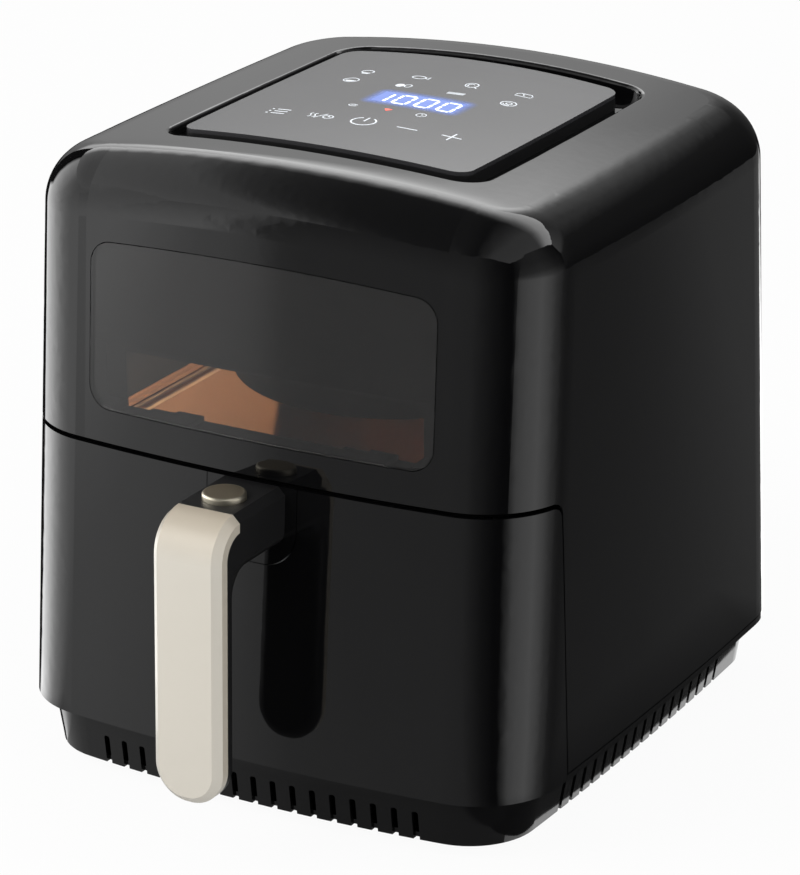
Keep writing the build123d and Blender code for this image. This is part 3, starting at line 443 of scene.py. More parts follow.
finishes = {
    "gloss_black": makeGlossBlack("glossBlack", glossBlackLook),
    "black_plastic": makeGrained("satinBlack", grainLooks["satinBlack"]),
    "handle_plastic": makeGrained("handleCharcoal", grainLooks["handleCharcoal"]),
    "champagne": makeChampagne("champagneLacquer", champagneLook),
    "button_metal": makeButtonMetal("buttonMetal", buttonLook),
    "smoked_glass": makeSmokedGlass("smokedGlass", smokedLook),
    "clear_glass": makeLampGlass("lampGlass", lampLook),
    "panel_glass": makePanelGlass("touchGlass", panelLook),
    "display": makeGrained("displayCase", grainLooks["caseBlack"]),
    "board": makeBoard("boardLacquer", boardLook),
    "component_plastic": makeGrained("componentCase", grainLooks["caseBlack"]),
    "loom_sleeve": makeGrained("loomSleeve", grainLooks["loomSleeve"]),
    "liner_enamel": makeEnamel("linerEnamel", enamelLook),
    "liner_steel": makeMetal("linerSteel", metalLooks["linerSteel"]),
    "heater_steel": makeMetal("heaterTube", metalLooks["heaterSteel"]),
    "steel": makeMetal("platedSteel", metalLooks["platedSteel"]),
    "aluminium": makeMetal("bareAluminium", metalLooks["bareAluminium"]),
    "motor_paint": makeGrained("motorPaint", grainLooks["caseBlack"]),
    "pan_coating": makePanCoating("panCoating", panLook),
    "seal_rubber": makeGrained("sealRubber", grainLooks["sealRubber"]),
    "foot_rubber": makeGrained("footRubber", grainLooks["softRubber"]),
}
slotOf = {entry["node"]: entry["material_slot"] for entry in frame["record"]["subparts"]}
for name, node in nodes.items():
    node.data.materials.clear()
    node.data.materials.append(finishes[slotOf[name]])
skirtLook = dict(glossBlackLook, roughness=0.07, peelScale=420.0)   # polished like the body, a little softer
nodes["base_pan"].data.materials[0] = makeGlossBlack("skirtBlack", skirtLook)
shellLead = {"middle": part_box("outer_shell")[0][1] + 0.018, "reach": 0.014, "depth": 0.0024, "half": 0.125,
             "fade": 0.030}
nodes["outer_shell"].data.materials[0] = makeGlossBlack("shellBlack", dict(glossBlackLook, lead=shellLead))
print("finishes set:", len(finishes))


# The frame behind the window and the touch glass, drawn a hair away from what touches them: an even film of air
# lies behind the window, and the marks on the touch glass stay inside its height.
frameBlack = makeGrained("frameBlack", grainLooks["frameBlack"])
setPieces = {"window_frame": {"move": (0.0, 0.25, 0.0), "finish": frameBlack},
             "control_panel": {"move": (0.0, 0.0, -0.06), "finish": finishes["panel_glass"]}}
for name, look in setPieces.items():
    mesh = nodes[name].data.copy()
    mesh.transform(Matrix.Translation(Vector(look["move"]) * mm))
    mesh.materials.clear()
    mesh.materials.append(look["finish"])
    piece = linkObject(name + "_set", mesh)
    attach(piece, "housing")
    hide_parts(name)


# Marks on the touch glass: strokes and filled shapes, in millimetres about each icon's own middle.
crown = {"half": 141.5, "drop": 13.3}       # the top falls by this much from its middle to its sides
panelTop = {"height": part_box("control_panel")[1][2] / mm + setPieces["control_panel"]["move"][2],
            "lift": 0.05, "glowLift": 0.03, "glowColumns": 24,
            "crownRadius": crown["half"] ** 2 / (2 * crown["drop"]) + crown["drop"] / 2}


def panelPoint(x, y, lift):
    radius = panelTop["crownRadius"]
    z = panelTop["height"] - radius + math.sqrt(radius * radius - x * x) + lift
    return Vector((x * mm, (y + bodyMiddle) * mm, z * mm))


def addPrism(bm, rim):
    # a thin closed plate on the crowned glass with the given outline
    top = [bm.verts.new(panelPoint(x, y, panelTop["lift"])) for x, y in rim]
    low = [bm.verts.new(panelPoint(x, y, -panelTop["lift"])) for x, y in rim]
    bm.faces.new(top)
    bm.faces.new(list(reversed(low)))
    count = len(rim)
    for i in range(count):
        j = (i + 1) % count
        bm.faces.new((top[j], top[i], low[i], low[j]))


def addStroke(bm, points, width, closed=False):
    # a ribbon of even width along the points
    count = len(points)
    left, right = [], []
    for i, (x, y) in enumerate(points):
        before = points[i - 1] if (closed or i > 0) else points[i]
        after = points[(i + 1) % count] if (closed or i < count - 1) else points[i]
        alongX, alongY = after[0] - before[0], after[1] - before[1]
        length = math.hypot(alongX, alongY)
        sideX, sideY = -alongY / length * width / 2, alongX / length * width / 2
        left.append((x + sideX, y + sideY))
        right.append((x - sideX, y - sideY))
    rows = []
    for points2, lift in ((left, 1), (right, 1), (right, -1), (left, -1)):
        rows.append([bm.verts.new(panelPoint(x, y, lift * panelTop["lift"])) for x, y in points2])
    steps = count if closed else count - 1
    for i in range(steps):
        j = (i + 1) % count
        for a, b in ((0, 1), (1, 2), (2, 3), (3, 0)):
            bm.faces.new((rows[a][i], rows[b][i], rows[b][j], rows[a][j]))
    if not closed:
        bm.faces.new([rows[a][0] for a in (3, 2, 1, 0)])
        bm.faces.new([rows[a][count - 1] for a in (0, 1, 2, 3)])


def arc(cx, cy, rx, ry, start, end, steps):
    # points round an ellipse, degrees from +X
    turns = [math.radians(start + (end - start) * i / steps) for i in range(steps + 1)]
    return [(cx + rx * math.cos(t), cy + ry * math.sin(t)) for t in turns]


def ringOf(cx, cy, rx, ry, steps=28):
    return arc(cx, cy, rx, ry, 0.0, 360.0 * (steps - 1) / steps, steps - 1)


def meshFrom(name, bm):
    bmesh.ops.recalc_face_normals(bm, faces=bm.faces)
    mesh = bpy.data.meshes.new(name)
    bm.to_mesh(mesh)
    bm.free()
    return mesh


def finishMesh(name, bm, material, body):
    mesh = meshFrom(name, bm)
    mesh.materials.append(material)
    piece = linkObject(name, mesh)
    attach(piece, body)


icons = {"stroke": 0.85, "thin": 0.6, "keysY": -42.0, "statusY": -19.2, "foodX": (-43.4, -14.0, 14.6, 43.3),
         "nearY": 21.9, "farY": 38.4}


def drawKeys(bm):
    wide, y = icons["stroke"], icons["keysY"]
    for row in (-3.4, 0.0, 3.4):                                      # list key
        addStroke(bm, [(-48.6, y + row), (-41.4, y + row)], wide)
        addPrism(bm, ringOf(-51.0, y + row, 0.65, 0.65, 10))
    for x in (-28.6, -26.2):                                          # heat and time key
        wave = [(x + 0.7 * math.sin(t * 1.05), y - 3.2 + t * 1.07) for t in range(7)]
        addStroke(bm, wave, icons["thin"])
    addStroke(bm, [(-25.0, y - 3.8), (-21.2, y + 3.8)], icons["thin"])
    addStroke(bm, ringOf(-18.8, y - 0.6, 2.5, 2.5, 24), icons["thin"], True)
    addStroke(bm, [(-18.8, y + 0.9), (-18.8, y - 0.6), (-17.6, y - 0.6)], icons["thin"])
    addStroke(bm, arc(-0.2, y + 0.6, 6.0, 6.0, 118.0, 422.0, 40), wide)   # on and off key
    addStroke(bm, [(-0.2, y + 0.8), (-0.2, y + 6.8)], wide)
    addStroke(bm, [(17.6, y + 1.0), (28.4, y + 1.0)], wide)           # less
    addStroke(bm, [(41.0, y + 2.0), (51.4, y + 2.0)], wide)           # more
    addStroke(bm, [(46.2, y - 3.2), (46.2, y + 1.5)], wide)
    addStroke(bm, [(46.2, y + 2.5), (46.2, y + 7.2)], wide)


def drawStatus(bm):
    thin, y = icons["thin"] * 0.8, icons["statusY"]
    addStroke(bm, arc(-18.6, y, 2.3, 1.5, 25.0, 335.0, 20), thin)     # warmth
    addStroke(bm, [(-19.6, y), (-17.2, y + 0.4)], thin)
    addStroke(bm, ringOf(18.1, y + 0.6, 2.5, 2.5, 24), thin, True)    # clock
    addStroke(bm, [(18.1, y + 2.1), (18.1, y + 0.6), (19.3, y + 0.6)], thin)


def drawFoods(bm):
    thin = icons["thin"]
    near, far = icons["nearY"], icons["farY"]
    a, b, c, d = icons["foodX"]
    addStroke(bm, ringOf(a, near, 4.0, 3.4), thin, True)              # bowl
    addPrism(bm, arc(a, near - 0.2, 2.9, 2.4, 190.0, 350.0, 16))
    addPrism(bm, ringOf(b - 2.0, near - 0.2, 2.2, 2.6, 20))           # nuggets
    addStroke(bm, ringOf(b + 2.2, near + 0.3, 1.8, 2.3, 20), thin, True)
    for k in (-2.0, 0.0, 2.0):                                        # chips
        addStroke(bm, [(c - 4.2, near + k * 0.55 - 0.6), (c + 4.4, near + k * 0.55 + 0.6)], thin)
    addStroke(bm, ringOf(d, near, 3.9, 3.6), thin, True)              # ring cake
    addStroke(bm, ringOf(d + 0.2, near + 0.2, 1.5, 1.4, 18), thin, True)
    addStroke(bm, arc(d, near, 2.7, 2.5, 190.0, 300.0, 10), thin)
    addStroke(bm, arc(a, far, 3.2, 2.6, -30.0, 210.0, 20), thin)      # cup cake
    addPrism(bm, [(a - 2.4, far - 1.6), (a + 2.4, far - 1.6), (a + 1.7, far - 3.6), (a - 1.7, far - 3.6)])
    addStroke(bm, ringOf(b - 0.6, far, 3.6, 2.3), thin, True)         # fish
    addStroke(bm, [(b + 2.9, far), (b + 5.0, far + 1.8), (b + 5.0, far - 1.8), (b + 3.1, far - 0.5)], thin)
    addStroke(bm, ringOf(c, far, 3.2, 3.6), thin, True)               # cutlet
    addStroke(bm, arc(c - 0.3, far - 0.2, 1.6, 1.9, 40.0, 250.0, 14), thin)
    addStroke(bm, [(c + 2.6, far - 2.4), (c + 4.4, far - 4.0)], thin)
    addStroke(bm, [(d - 4.2, far - 2.2), (d - 4.2, far + 0.6), (d - 2.8, far + 2.2), (d + 2.9, far + 2.2),
                   (d + 4.2, far + 0.6), (d + 4.2, far - 2.2)], thin, True)   # loaf
    addStroke(bm, [(d - 1.2, far + 1.6), (d - 0.2, far - 0.6)], thin)


digits = {"text": "1000", "left": -13.3, "pitch": 12.1, "low": -7.2, "width": 7.4, "height": 13.6, "bar": 1.45,
          "gap": 0.35}
segmentsOf = {"0": "abcdef", "1": "bc"}


def drawDigits(bm):
    w, h, bar, gap = digits["width"], digits["height"], digits["bar"], digits["gap"]
    for i, sign in enumerate(digits["text"]):
        x0 = digits["left"] + i * digits["pitch"] - w / 2
        y0 = digits["low"]
        ends = {
            "a": ((0, h), (w, h)), "b": ((w, h / 2), (w, h)), "c": ((w, 0), (w, h / 2)), "d": ((0, 0), (w, 0)),
            "e": ((0, 0), (0, h / 2)), "f": ((0, h / 2), (0, h)),
        }
        for segment in segmentsOf[sign]:
            (ax, ay), (bx, by) = ends[segment]
            long = math.hypot(bx - ax, by - ay)
            dx, dy = (bx - ax) / long, (by - ay) / long
            ax, ay, bx, by = ax + dx * gap, ay + dy * gap, bx - dx * gap, by - dy * gap
            half = bar / 2
            rim = [(ax, ay), (ax + dx * half - dy * half, ay + dy * half + dx * half),
                   (bx - dx * half - dy * half, by - dy * half + dx * half), (bx, by),
                   (bx - dx * half + dy * half, by - dy * half - dx * half),
                   (ax + dx * half + dy * half, ay + dy * half - dx * half)]
            addPrism(bm, [(x0 + px, y0 + py) for px, py in rim])


printed = bmesh.new()
drawKeys(printed)
drawStatus(printed)
drawFoods(printed)
finishMesh("panel_print", printed, makeInk("whiteInk", inkLooks["whiteInk"]), "housing")

mark = bmesh.new()
y = icons["statusY"]
addPrism(mark, [(-2.2, y + 1.4), (0.0, y - 1.7), (2.2, y + 1.4), (0.0, y + 2.0)])
finishMesh("panel_mark", mark, makeInk("redMark", inkLooks["redMark"]), "housing")

lit = bmesh.new()
drawDigits(lit)
finishMesh("display_digits", lit, makeInk("digitGlow", inkLooks["digitGlow"]), "housing")

halo = bmesh.new()
cx, cy = haloLook["centre"][0], haloLook["centre"][1] - bodyMiddle
halfX = haloLook["half"][0] + haloLook["fall"]
halfY = haloLook["half"][1] + haloLook["fall"]
columns = panelTop["glowColumns"]
rows = []
for lift in (panelTop["glowLift"], -panelTop["glowLift"]):
    for side in (-halfY, halfY):
        rows.append([halo.verts.new(panelPoint(cx + halfX * (2 * i / columns - 1), cy + side, lift))
                     for i in range(columns + 1)])
for i in range(columns):
    for a, b in ((0, 1), (1, 3), (3, 2), (2, 0)):
        halo.faces.new((rows[a][i], rows[b][i], rows[b][i + 1], rows[a][i + 1]))
halo.faces.new((rows[0][0], rows[1][0], rows[3][0], rows[2][0]))
halo.faces.new((rows[0][columns], rows[1][columns], rows[3][columns], rows[2][columns]))
finishMesh("display_glow", halo, makeHalo("displayHalo", haloLook), "housing")
print("touch panel marks done")


# Geometry node trees for what repeats.
def newTree(name, inputs):
    tree = bpy.data.node_groups.new(name, "GeometryNodeTree")
    tree.interface.new_socket("Geometry", in_out="INPUT", socket_type="NodeSocketGeometry")
    for title, kind, value in inputs:
        socket = tree.interface.new_socket(title, in_out="INPUT", socket_type=kind)
        if value is not None:
            socket.default_value = value
    tree.interface.new_socket("Geometry", in_out="OUTPUT", socket_type="NodeSocketGeometry")
    source = tree.nodes.new("NodeGroupInput")
    target = tree.nodes.new("NodeGroupOutput")
    return tree, source, target


def treeNode(tree, kind, settings, values):
    node = tree.nodes.new(kind)
    for name, value in settings.items():
        setattr(node, name, value)
    for key, value in values.items():
        if isinstance(value, bpy.types.NodeSocket):
            tree.links.new(value, node.inputs[key])
        else:
            node.inputs[key].default_value = value
    return node


def runTree(name, tree, points, values, body, edges=()):
    # points become the tree's input mesh; the result is a plain mesh that rides on the body
    base = bpy.data.meshes.new(name + "_points")
    base.from_pydata(points, list(edges), [])
    carrier = linkObject(name + "_carrier", base)
    modifier = carrier.modifiers.new("repeat", "NODES")
    modifier.node_group = tree
    for item in tree.interface.items_tree:
        if item.in_out == "INPUT" and item.name in values:
            modifier[item.identifier] = values[item.name]
    bpy.context.view_layer.update()
    evaluated = carrier.evaluated_get(bpy.context.evaluated_depsgraph_get())
    mesh = bpy.data.meshes.new_from_object(evaluated)
    mesh.name = name
    bpy.data.objects.remove(carrier)
    piece = linkObject(name, mesh)
    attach(piece, body)


def closeTree(tree, target, geometry, material):
    solid = treeNode(tree, "GeometryNodeRealizeInstances", {}, {"Geometry": geometry})
    done = treeNode(tree, "GeometryNodeSetMaterial", {}, {
        "Geometry": solid.outputs["Geometry"], "Material": material})
    tree.links.new(done.outputs["Geometry"], target.inputs["Geometry"])


def repeatTree(name, material):
    # the given shape on every point, turned as asked
    tree, source, target = newTree(name, [
        ("Shape", "NodeSocketObject", None),
        ("Turn", "NodeSocketVector", (0.0, 0.0, 0.0)),
    ])
    info = treeNode(tree, "GeometryNodeObjectInfo", {"transform_space": "ORIGINAL"}, {
        "Object": source.outputs["Shape"]})
    placed = treeNode(tree, "GeometryNodeInstanceOnPoints", {}, {
        "Points": source.outputs["Geometry"],
        "Instance": info.outputs["Geometry"],
        "Rotation": source.outputs["Turn"],
    })
    closeTree(tree, target, placed.outputs["Instances"], material)
    return tree


screwHead = {"radius": 2.95, "height": 2.5, "dome": 0.5, "slotLong": 1.9, "slotWide": 0.42, "slotDeep": 1.0,
             "steps": 24, "inset": 2.8, "rise": 2.25}


def screwShape(look):
    # a pan head seen from below, with a crossed driver recess
    bm = bmesh.new()
    steps = look["steps"]
    long, wide, deep = look["slotLong"] * mm, look["slotWide"] * mm, look["slotDeep"] * mm
    cross = [(wide, wide), (wide, long), (-wide, long), (-wide, wide), (-long, wide), (-long, -wide),
             (-wide, -wide), (-wide, -long), (wide, -long), (wide, -wide), (long, -wide), (long, wide)]
    face = -look["height"] * mm
    mouth = [bm.verts.new((x, y, face)) for x, y in cross]
    floor = [bm.verts.new((x * 0.8, y * 0.8, face + deep)) for x, y in cross]
    count = len(cross)
    for i in range(count):
        j = (i + 1) % count
        bm.faces.new((mouth[i], mouth[j], floor[j], floor[i]))
    bm.faces.new(floor)
    dome = look["dome"] * mm
    profile = [(0.80, face), (0.94, face + dome * 0.5), (1.0, face + dome * 1.4), (1.0, 0.0)]
    rings = []
    for share, z in profile:
        radius = look["radius"] * mm * share
        rings.append([bm.verts.new((radius * math.cos(2 * math.pi * i / steps),
                                    radius * math.sin(2 * math.pi * i / steps), z)) for i in range(steps)])
    for low, high in zip(rings, rings[1:]):
        for i in range(steps):
            j = (i + 1) % steps
            bm.faces.new((low[i], low[j], high[j], high[i]))
    bm.faces.new(rings[-1])
    edges = []
    for loop in (mouth, rings[0]):
        for i, vert in enumerate(loop):
            edges.append(bm.edges.get((vert, loop[(i + 1) % len(loop)])))
    bmesh.ops.triangle_fill(bm, edges=edges, use_beauty=True)
    return bpy.data.objects.new("screw_shape", meshFrom("screw_shape", bm))


low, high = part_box("base_screws")
screwInset = screwHead["inset"] * mm
screwX = high[0] - screwInset
screwZ = low[2] + screwHead["rise"] * mm
screwYs = (low[1] + screwInset, high[1] - screwInset)
screwPoints = [(side * screwX, y, screwZ) for side in (-1, 1) for y in screwYs]
screwTree = repeatTree("baseScrewTree", finishes["steel"])
runTree("base_screw_heads", screwTree, screwPoints, {"Shape": screwShape(screwHead)}, "housing")


slats = {"tilt": 38.0, "deep": 5.0, "thick": 0.9, "pitch": 5.2, "count": 6, "bevel": 0.2, "margin": 16.0,
         "ahead": 1.2}


def slatShape(look, width):
    bm = bmesh.new()
    bmesh.ops.create_cube(bm, size=1.0)
    for vert in bm.verts:
        vert.co.x *= width
        vert.co.y *= look["deep"] * mm
        vert.co.z *= look["thick"] * mm
    bmesh.ops.bevel(bm, geom=list(bm.edges), offset=look["bevel"] * mm, segments=1, affect="EDGES")
    return bpy.data.objects.new("slat_shape", meshFrom("slat_shape", bm))


low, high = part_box("rear_grille")
middleZ = (low[2] + high[2]) / 2
slatWidth = high[0] - low[0] - slats["margin"] * mm
slatY = low[1] - slats["ahead"] * mm
slatPoints = [(0.0, slatY, middleZ + (i - (slats["count"] - 1) / 2) * slats["pitch"] * mm)
              for i in range(slats["count"])]
slatTree = repeatTree("grilleSlatTree", finishes["black_plastic"])
runTree("grille_slats", slatTree, slatPoints,
        {"Shape": slatShape(slats, slatWidth), "Turn": (math.radians(slats["tilt"]), 0.0, 0.0)},
        "housing")


def rollTree(name, material):
    # a round bead along the input's edges
    tree, source, target = newTree(name, [("Radius", "NodeSocketFloat", 0.001), ("Sides", "NodeSocketInt", 12)])
    path = treeNode(tree, "GeometryNodeMeshToCurve", {}, {"Mesh": source.outputs["Geometry"]})
    ring = treeNode(tree, "GeometryNodeCurvePrimitiveCircle", {}, {
        "Resolution": source.outputs["Sides"], "Radius": source.outputs["Radius"]})
    bead = treeNode(tree, "GeometryNodeCurveToMesh", {}, {
        "Curve": path.outputs["Curve"], "Profile Curve": ring.outputs["Curve"]})
    soft = treeNode(tree, "GeometryNodeSetShadeSmooth", {}, {"Geometry": bead.outputs["Mesh"]})
    closeTree(tree, target, soft.outputs["Geometry"], material)
    return tree


# Rolled beads round the pan's rim, painted paler than the pan as a painted highlight streak.
rimRoll = {"inset": (8.4, 2.6), "front": (4.7, 1.7), "radius": 1.35, "sides": 14, "sink": 0.25, "corner": 26.0,
           "cornerSteps": 8}
rimHighlightCopper = makePanCoating("rimHighlightCopper", rimHighlightLook)
low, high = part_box("fry_pan")
rollPoints, rollEdges = [], []
for inset, frontInset in zip(rimRoll["inset"], rimRoll["front"]):
    halfX = high[0] / mm - inset
    y0, y1 = low[1] / mm + frontInset, high[1] / mm - inset
    corner = rimRoll["corner"] - inset
    z = high[2] - rimRoll["sink"] * mm
    loop = []
    for cx, cy, start in ((halfX - corner, y1 - corner, 0), (corner - halfX, y1 - corner, 90),
                          (corner - halfX, y0 + corner, 180), (halfX - corner, y0 + corner, 270)):
        loop += arc(cx, cy, corner, corner, start, start + 90.0, rimRoll["cornerSteps"])
    first = len(rollPoints)
    rollPoints += [(x * mm, y * mm, z) for x, y in loop]
    rollEdges += [(first + i, first + (i + 1) % len(loop)) for i in range(len(loop))]
runTree("pan_rim_roll", rollTree("rimRollTree", rimHighlightCopper), rollPoints,
        {"Radius": rimRoll["radius"] * mm, "Sides": rimRoll["sides"]}, "drawer", rollEdges)


# Reflector on the chamber's left wall, across from the lamp.
reflector = {"wall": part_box("pan_rail_left")[0][0] / mm + 0.02, "thick": 0.6, "low": 163.9, "high": 168.9,
             "front": -92.0, "back": 128.0, "rib": 0.7, "ribHalf": 1.2}
bm = bmesh.new()
wall, lowZ, highZ, half = reflector["wall"], reflector["low"], reflector["high"], reflector["ribHalf"]
face = wall + reflector["thick"]
middle = (lowZ + highZ) / 2
profile = [(wall, lowZ), (face, lowZ), (face, middle - half), (face + reflector["rib"], middle),
           (face, middle + half), (face, highZ), (wall, highZ)]
ends = [[bm.verts.new((x * mm, y * mm, z * mm)) for x, z in profile]
        for y in (reflector["front"], reflector["back"])]
for i in range(len(profile)):
    j = (i + 1) % len(profile)
    bm.faces.new((ends[0][i], ends[0][j], ends[1][j], ends[1][i]))
bm.faces.new(ends[0])
bm.faces.new(ends[1])
finishMesh("lamp_reflector", bm, finishes["pan_coating"], "housing")
print("repeated pieces done")


# Stage: floor, reflection cards, lamps and camera.
def linkStage(name, mesh, material):
    thing = linkObject(name, mesh)
    mesh.materials.append(material)
    return thing


def sheetMesh(name, corners):
    mesh = bpy.data.meshes.new(name)
    mesh.from_pydata(corners, [], [tuple(range(len(corners)))])
    return mesh


def seenRays(root):
    # 1 for rays that show the background: from the camera, in gloss and through glass
    path = root.add("ShaderNodeLightPath", out="Is Camera Ray")
    ray = path.socket.node.outputs
    return root.math("MAXIMUM", root.math("MAXIMUM", path, Val(root.tree, ray["Is Glossy Ray"])),
                     Val(root.tree, ray["Is Transmission Ray"]))


floorLook = {"half": 12.0, "colour": (0.82, 0.82, 0.82), "share": 0.95}


def makeFloor(look):
    material, root, place = newMaterial("paleFloor")
    cloud = root.noise(place, 0.8, 2.0)
    diffuse = root.add("ShaderNodeBsdfDiffuse", {}, {
        "Color": cloud.mix(rgba(look["colour"]), rgba(tuple(c * 0.985 for c in look["colour"])))})
    glow = root.add("ShaderNodeEmission", {}, {"Color": (1.0, 1.0, 1.0, 1.0), "Strength": 1.0})
    both = root.add("ShaderNodeMixShader", {}, {0: seenRays(root) * look["share"], 1: diffuse, 2: glow})
    linkOutput(material.node_tree, both)
    half = look["half"]
    mesh = sheetMesh("floor", [(-half, -half, 0.0), (half, -half, 0.0), (half, half, 0.0), (-half, half, 0.0)])
    linkStage("floor", mesh, material)


def glossOnly(card):
    card.visible_camera = False
    card.visible_diffuse = False
    card.visible_shadow = False
    card.visible_transmission = False
    card.visible_volume_scatter = False


fullLevel = 6.0     # brightness of a card where its ramp says 1


def rampOver(value, levels):
    # grey level along a value, from (value, level) pairs
    low, high = levels[0][0], levels[-1][0]
    span = high - low
    stops = [((place - low) / span, (level / fullLevel,) * 3) for place, level in levels]
    return ((value - low) / span).ramp(stops)


def closeCard(material, root, level, corners, name):
    glow = root.add("ShaderNodeEmission", {}, {"Color": level, "Strength": fullLevel})
    linkOutput(material.node_tree, glow)
    glossOnly(linkStage(name, sheetMesh(name, corners), material))


# Tones of the floor and the walls: stripes before the front face, fans about its two front corners in degrees,
# dark behind the body. A blend is where it starts and how far it reaches.
stageLook = {"across": (0.872, -0.489), "corner": (0.135, -0.115), "leftCorner": (-0.128, -0.10), "dark": 0.002,
             "leftBlend": (-48.0, 12.0), "fanBlend": (-35.0, 15.0), "sideBlend": (122.0, 14.0),
             "darkFrom": (22.0, 6.0), "darkTo": (105.0, 10.0), "darkLean": 30.0, "leanTop": 0.4,
             "cornerFade": (0.03, 0.06), "cornerTone": 0.02,
             "stripes": ((-0.50, 1.6), (-0.36, 1.6), (-0.30, 1.5), (-0.24, 1.33), (-0.20, 1.22), (-0.12, 1.0),
                         (-0.065, 0.95), (-0.037, 0.90), (-0.002, 0.82), (0.03, 0.72), (0.089, 0.42),
                         (0.148, 0.36), (0.30, 0.34)),
             "leftTurns": ((-60, 1.4), (-46, 1.42), (-36, 1.5), (-29, 1.7), (-22, 2.0), (-14, 2.6), (-4, 3.25),
                           (6, 3.4), (16, 3.1), (30, 2.9)),
             "turns": ((-180, 0.5), (-12, 0.33), (0, 0.31), (12, 0.19), (25, 0.08), (40, 0.01), (48, 0.01),
                       (56, 0.40), (64, 1.0), (75, 1.25), (92, 1.45), (104, 1.0), (114, 0.50), (125, 0.20),
                       (135, 0.13), (180, 0.12)),
             "sideStripes": ((-0.30, 0.24), (0.0, 0.18), (0.04, 0.15), (0.08, 0.12), (0.12, 0.10), (0.17, 0.09),
                             (0.30, 0.09))}
noLight = (0.0, 0.0, 0.0, 1.0)


def blend(value, start, reach):
    return ((value - start) / reach).clamped()


def stageTone(root, place, look):
    x, y, z = root.split(place)
    across = x * look["across"][0] + y * look["across"][1]
    degrees = 180.0 / math.pi
    cornerX, cornerY = look["leftCorner"]
    swing = root.math("ARCTAN2", y - cornerY, cornerX - x) * degrees
    stripe = rampOver(across, look["stripes"])
    stripe = blend(swing, *look["leftBlend"]).mix(stripe, rampOver(swing, look["leftTurns"]))
    cornerX, cornerY = look["corner"]
    outX, outY = x - cornerX, y - cornerY
    turn = root.math("ARCTAN2", outX, cornerY - y) * degrees
    away = blend((outX * outX + outY * outY) ** 0.5, *look["cornerFade"])
    fan = away.mix(rgba((look["cornerTone"],) * 3), rampOver(turn, look["turns"]))
    level = blend(turn, *look["fanBlend"]).mix(stripe, fan)
    level = blend(turn, *look["sideBlend"]).mix(level, rampOver(across, look["sideStripes"]))
    lean = root.math("MINIMUM", z, look["leanTop"]) * look["darkLean"]
    darkEnd, darkFade = look["darkTo"]
    behind = blend(swing + lean, *look["darkFrom"]) * ((darkEnd - swing) / darkFade).clamped()
    return x, y, z, behind.mix(level, rgba((look["dark"],) * 3))


floorCard = {"height": 0.0006, "base": (0.141, 0.146), "near": (0.03, 0.04), "nearShare": 0.5}


def makeFloorCard(look):
    # the floor's tones, dimmer close to the base
    material, root, place = newMaterial("floorCard")
    x, y, _, level = stageTone(root, place, stageLook)
    offX = root.math("ABSOLUTE", x) - look["base"][0]
    offY = root.math("ABSOLUTE", y - bodyMiddle * mm) - look["base"][1]
    share = blend(root.math("MAXIMUM", offX, offY), *look["near"])
    share = share * (1.0 - look["nearShare"]) + look["nearShare"]
    half, front, back, height = cards["half"], cards["front"], cards["back"], look["height"]
    corners = [(-half, front, height), (half, front, height), (half, back, height), (-half, back, height)]
    closeCard(material, root, share.mix(noLight, level), corners, "floor_card")


# Wall and roof cards round the stage, as large sheets in a studio.
cards = {"half": 3.2, "front": -3.2, "back": 2.2, "roof": 2.6,
         "backHeight": ((0.0, 0.3), (0.3, 0.4), (0.6, 0.6), (0.9, 0.72), (1.25, 1.0), (1.42, 2.1), (1.65, 3.8),
                        (2.36, 4.33), (2.6, 4.2)),
         "backAcross": ((-3.2, 3.2), (-2.3, 4.0), (-1.6, 6.0), (-0.8, 5.8), (-0.4, 2.3), (-0.2, 1.3),
                        (0.0, 0.85), (0.6, 0.48), (1.2, 0.42), (3.2, 1.0)),
         "frontFade": ((0.0, 6.0), (2.6, 3.7)),
         "roofAcross": ((-3.2, 1.3), (-1.8, 0.95), (-1.48, 0.42), (-1.2, 0.22), (-0.9, 0.12), (0.0, 0.05),
                        (0.6, 0.3), (1.2, 0.6), (3.2, 0.7)),
         "rightFade": ((0.0, 6.0), (0.3, 3.8), (0.7, 1.8), (1.5, 1.1), (2.6, 1.1)),
         "leftFade": ((0.0, 6.0), (2.6, 4.5)),
         "roofBack": ((-3.2, 0.0), (0.2, 0.0), (0.55, 0.18), (0.95, 1.17), (1.5, 3.43), (2.2, 4.2))}


def makeCards(look):
    half, front, back, roof = look["half"], look["front"], look["back"], look["roof"]
    material, root, place = newMaterial("backCard")
    x, _, z = root.split(place)
    level = rampOver(x, look["backAcross"]).mix(noLight, rampOver(z, look["backHeight"]))
    closeCard(material, root, level,
              [(-half, back, 0.0), (half, back, 0.0), (half, back, roof), (-half, back, roof)], "card_back")
    walls = {"front": [(-half, front), (half, front)], "right": [(half, front), (half, back)],
             "left": [(-half, front), (-half, back)]}
    for name, ((x0, y0), (x1, y1)) in walls.items():
        material, root, place = newMaterial(name + "Card")
        _, _, z, level = stageTone(root, place, stageLook)
        level = rampOver(z, look[name + "Fade"]).mix(noLight, level)
        closeCard(material, root, level, [(x0, y0, 0.0), (x1, y1, 0.0), (x1, y1, roof), (x0, y0, roof)],
                  "card_" + name)
    material, root, place = newMaterial("roofCard")
    x, y, _ = root.split(place)
    level = root.add("ShaderNodeVectorMath", {"operation": "MAXIMUM"}, {
        0: rampOver(x, look["roofAcross"]), 1: rampOver(y, look["roofBack"])})
    closeCard(material, root, level,
              [(-half, front, roof), (half, front, roof), (half, back, roof), (-half, back, roof)], "card_roof")


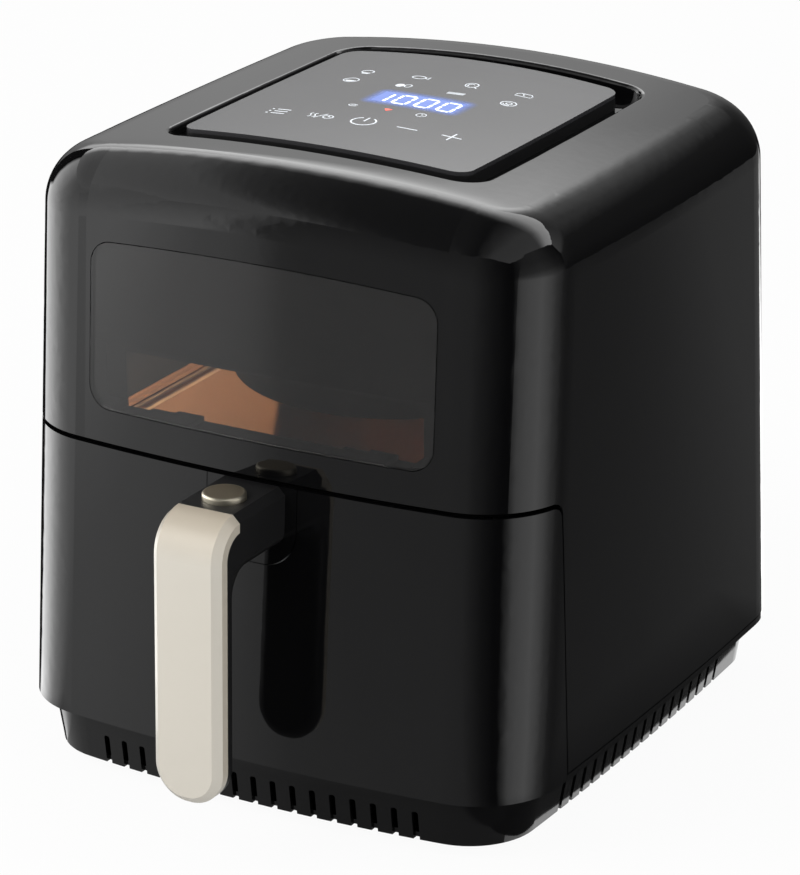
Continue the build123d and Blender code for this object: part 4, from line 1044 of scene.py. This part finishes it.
lamps = {
    "keyLamp": {"at": (-1.5, -1.9, 1.9), "aim": (0.0, -0.05, 0.14), "size": (1.6, 1.6), "power": 46.0,
                "colour": (1.0, 0.985, 0.965)},
    "backLamp": {"at": (-1.2, 1.5, 2.3), "aim": (0.0, 0.0, 0.25), "size": (2.2, 1.2), "power": 8.0,
                 "colour": (1.0, 1.0, 1.0)},
    "sideLamp": {"at": (2.2, -0.7, 1.3), "aim": (0.0, 0.0, 0.15), "size": (1.2, 1.2), "power": 12.0,
                 "colour": (1.0, 1.0, 1.0)},
}


def linkLamp(name, data, look, at):
    data.energy = look["power"]
    data.color = look["colour"]
    lamp = linkObject(name, data)
    lamp.location = at
    lamp.rotation_euler = (Vector(look["aim"]) - Vector(at)).to_track_quat("-Z", "Y").to_euler()
    return lamp


def makeLamps():
    for name, look in lamps.items():
        data = bpy.data.lights.new(name, "AREA")
        data.shape = "RECTANGLE"
        data.size, data.size_y = look["size"]
        lamp = linkLamp(name, data, look, look["at"])
        lamp.visible_glossy = False
        lamp.visible_camera = False


chamberBeam = {"ahead": 3.4, "aim": (-0.104, -0.002, 0.153), "power": 3.5, "angle": 42.0, "soft": 0.12,
               "size": 2.0, "colour": (1.0, 0.72, 0.48)}


def makeChamberBeam(look):
    # the chamber lamp's light, across the pan to its left wall
    data = bpy.data.lights.new("chamberBeam", "SPOT")
    data.spot_size = math.radians(look["angle"])
    data.spot_blend = look["soft"]
    data.shadow_soft_size = look["size"] * mm
    low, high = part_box("lamp_lens")
    at = (low[0] - look["ahead"] * mm, (low[1] + high[1]) / 2, (low[2] + high[2]) / 2)
    linkLamp("chamberBeam", data, look, at)


worldLook = {"light": 0.52, "white": 1.0}


def makeWorld(look):
    world = bpy.data.worlds.new("studio")
    world.use_nodes = True
    world.node_tree.nodes.clear()
    root = Val(world.node_tree)
    seen = seenRays(root)
    light, white = look["light"], look["white"]
    colour = seen.mix((light, light, light * 1.01, 1.0), (white, white, white, 1.0))
    sky = root.add("ShaderNodeBackground", {}, {"Color": colour, "Strength": 1.0})
    linkOutput(world.node_tree, sky, "ShaderNodeOutputWorld")
    bpy.context.scene.world = world


camera = {"azimuth": 29.26, "elevation": 20.22, "target": (0.0, bodyMiddle * mm, 0.163), "distance": 1.9758,
          "lens": 165.56, "shift": (-0.00806, -0.04121)}


def makeCamera(look):
    data = bpy.data.cameras.new("camera")
    data.sensor_fit = "VERTICAL"
    data.sensor_height = 36.0
    data.sensor_width = 36.0
    data.lens = look["lens"]
    data.shift_x, data.shift_y = look["shift"]
    eye = linkObject("camera", data)
    azimuth, elevation = math.radians(look["azimuth"]), math.radians(look["elevation"])
    back = Vector((math.sin(azimuth) * math.cos(elevation), -math.cos(azimuth) * math.cos(elevation),
                   math.sin(elevation)))
    eye.location = Vector(look["target"]) + back * look["distance"]
    eye.rotation_euler = (-back).to_track_quat("-Z", "Y").to_euler()
    bpy.context.scene.camera = eye


makeFloor(floorLook)
makeFloorCard(floorCard)
makeCards(cards)
makeLamps()
makeChamberBeam(chamberBeam)
makeWorld(worldLook)
makeCamera(camera)
bpy.context.scene.view_settings.view_transform = "Standard"
print("stage set")
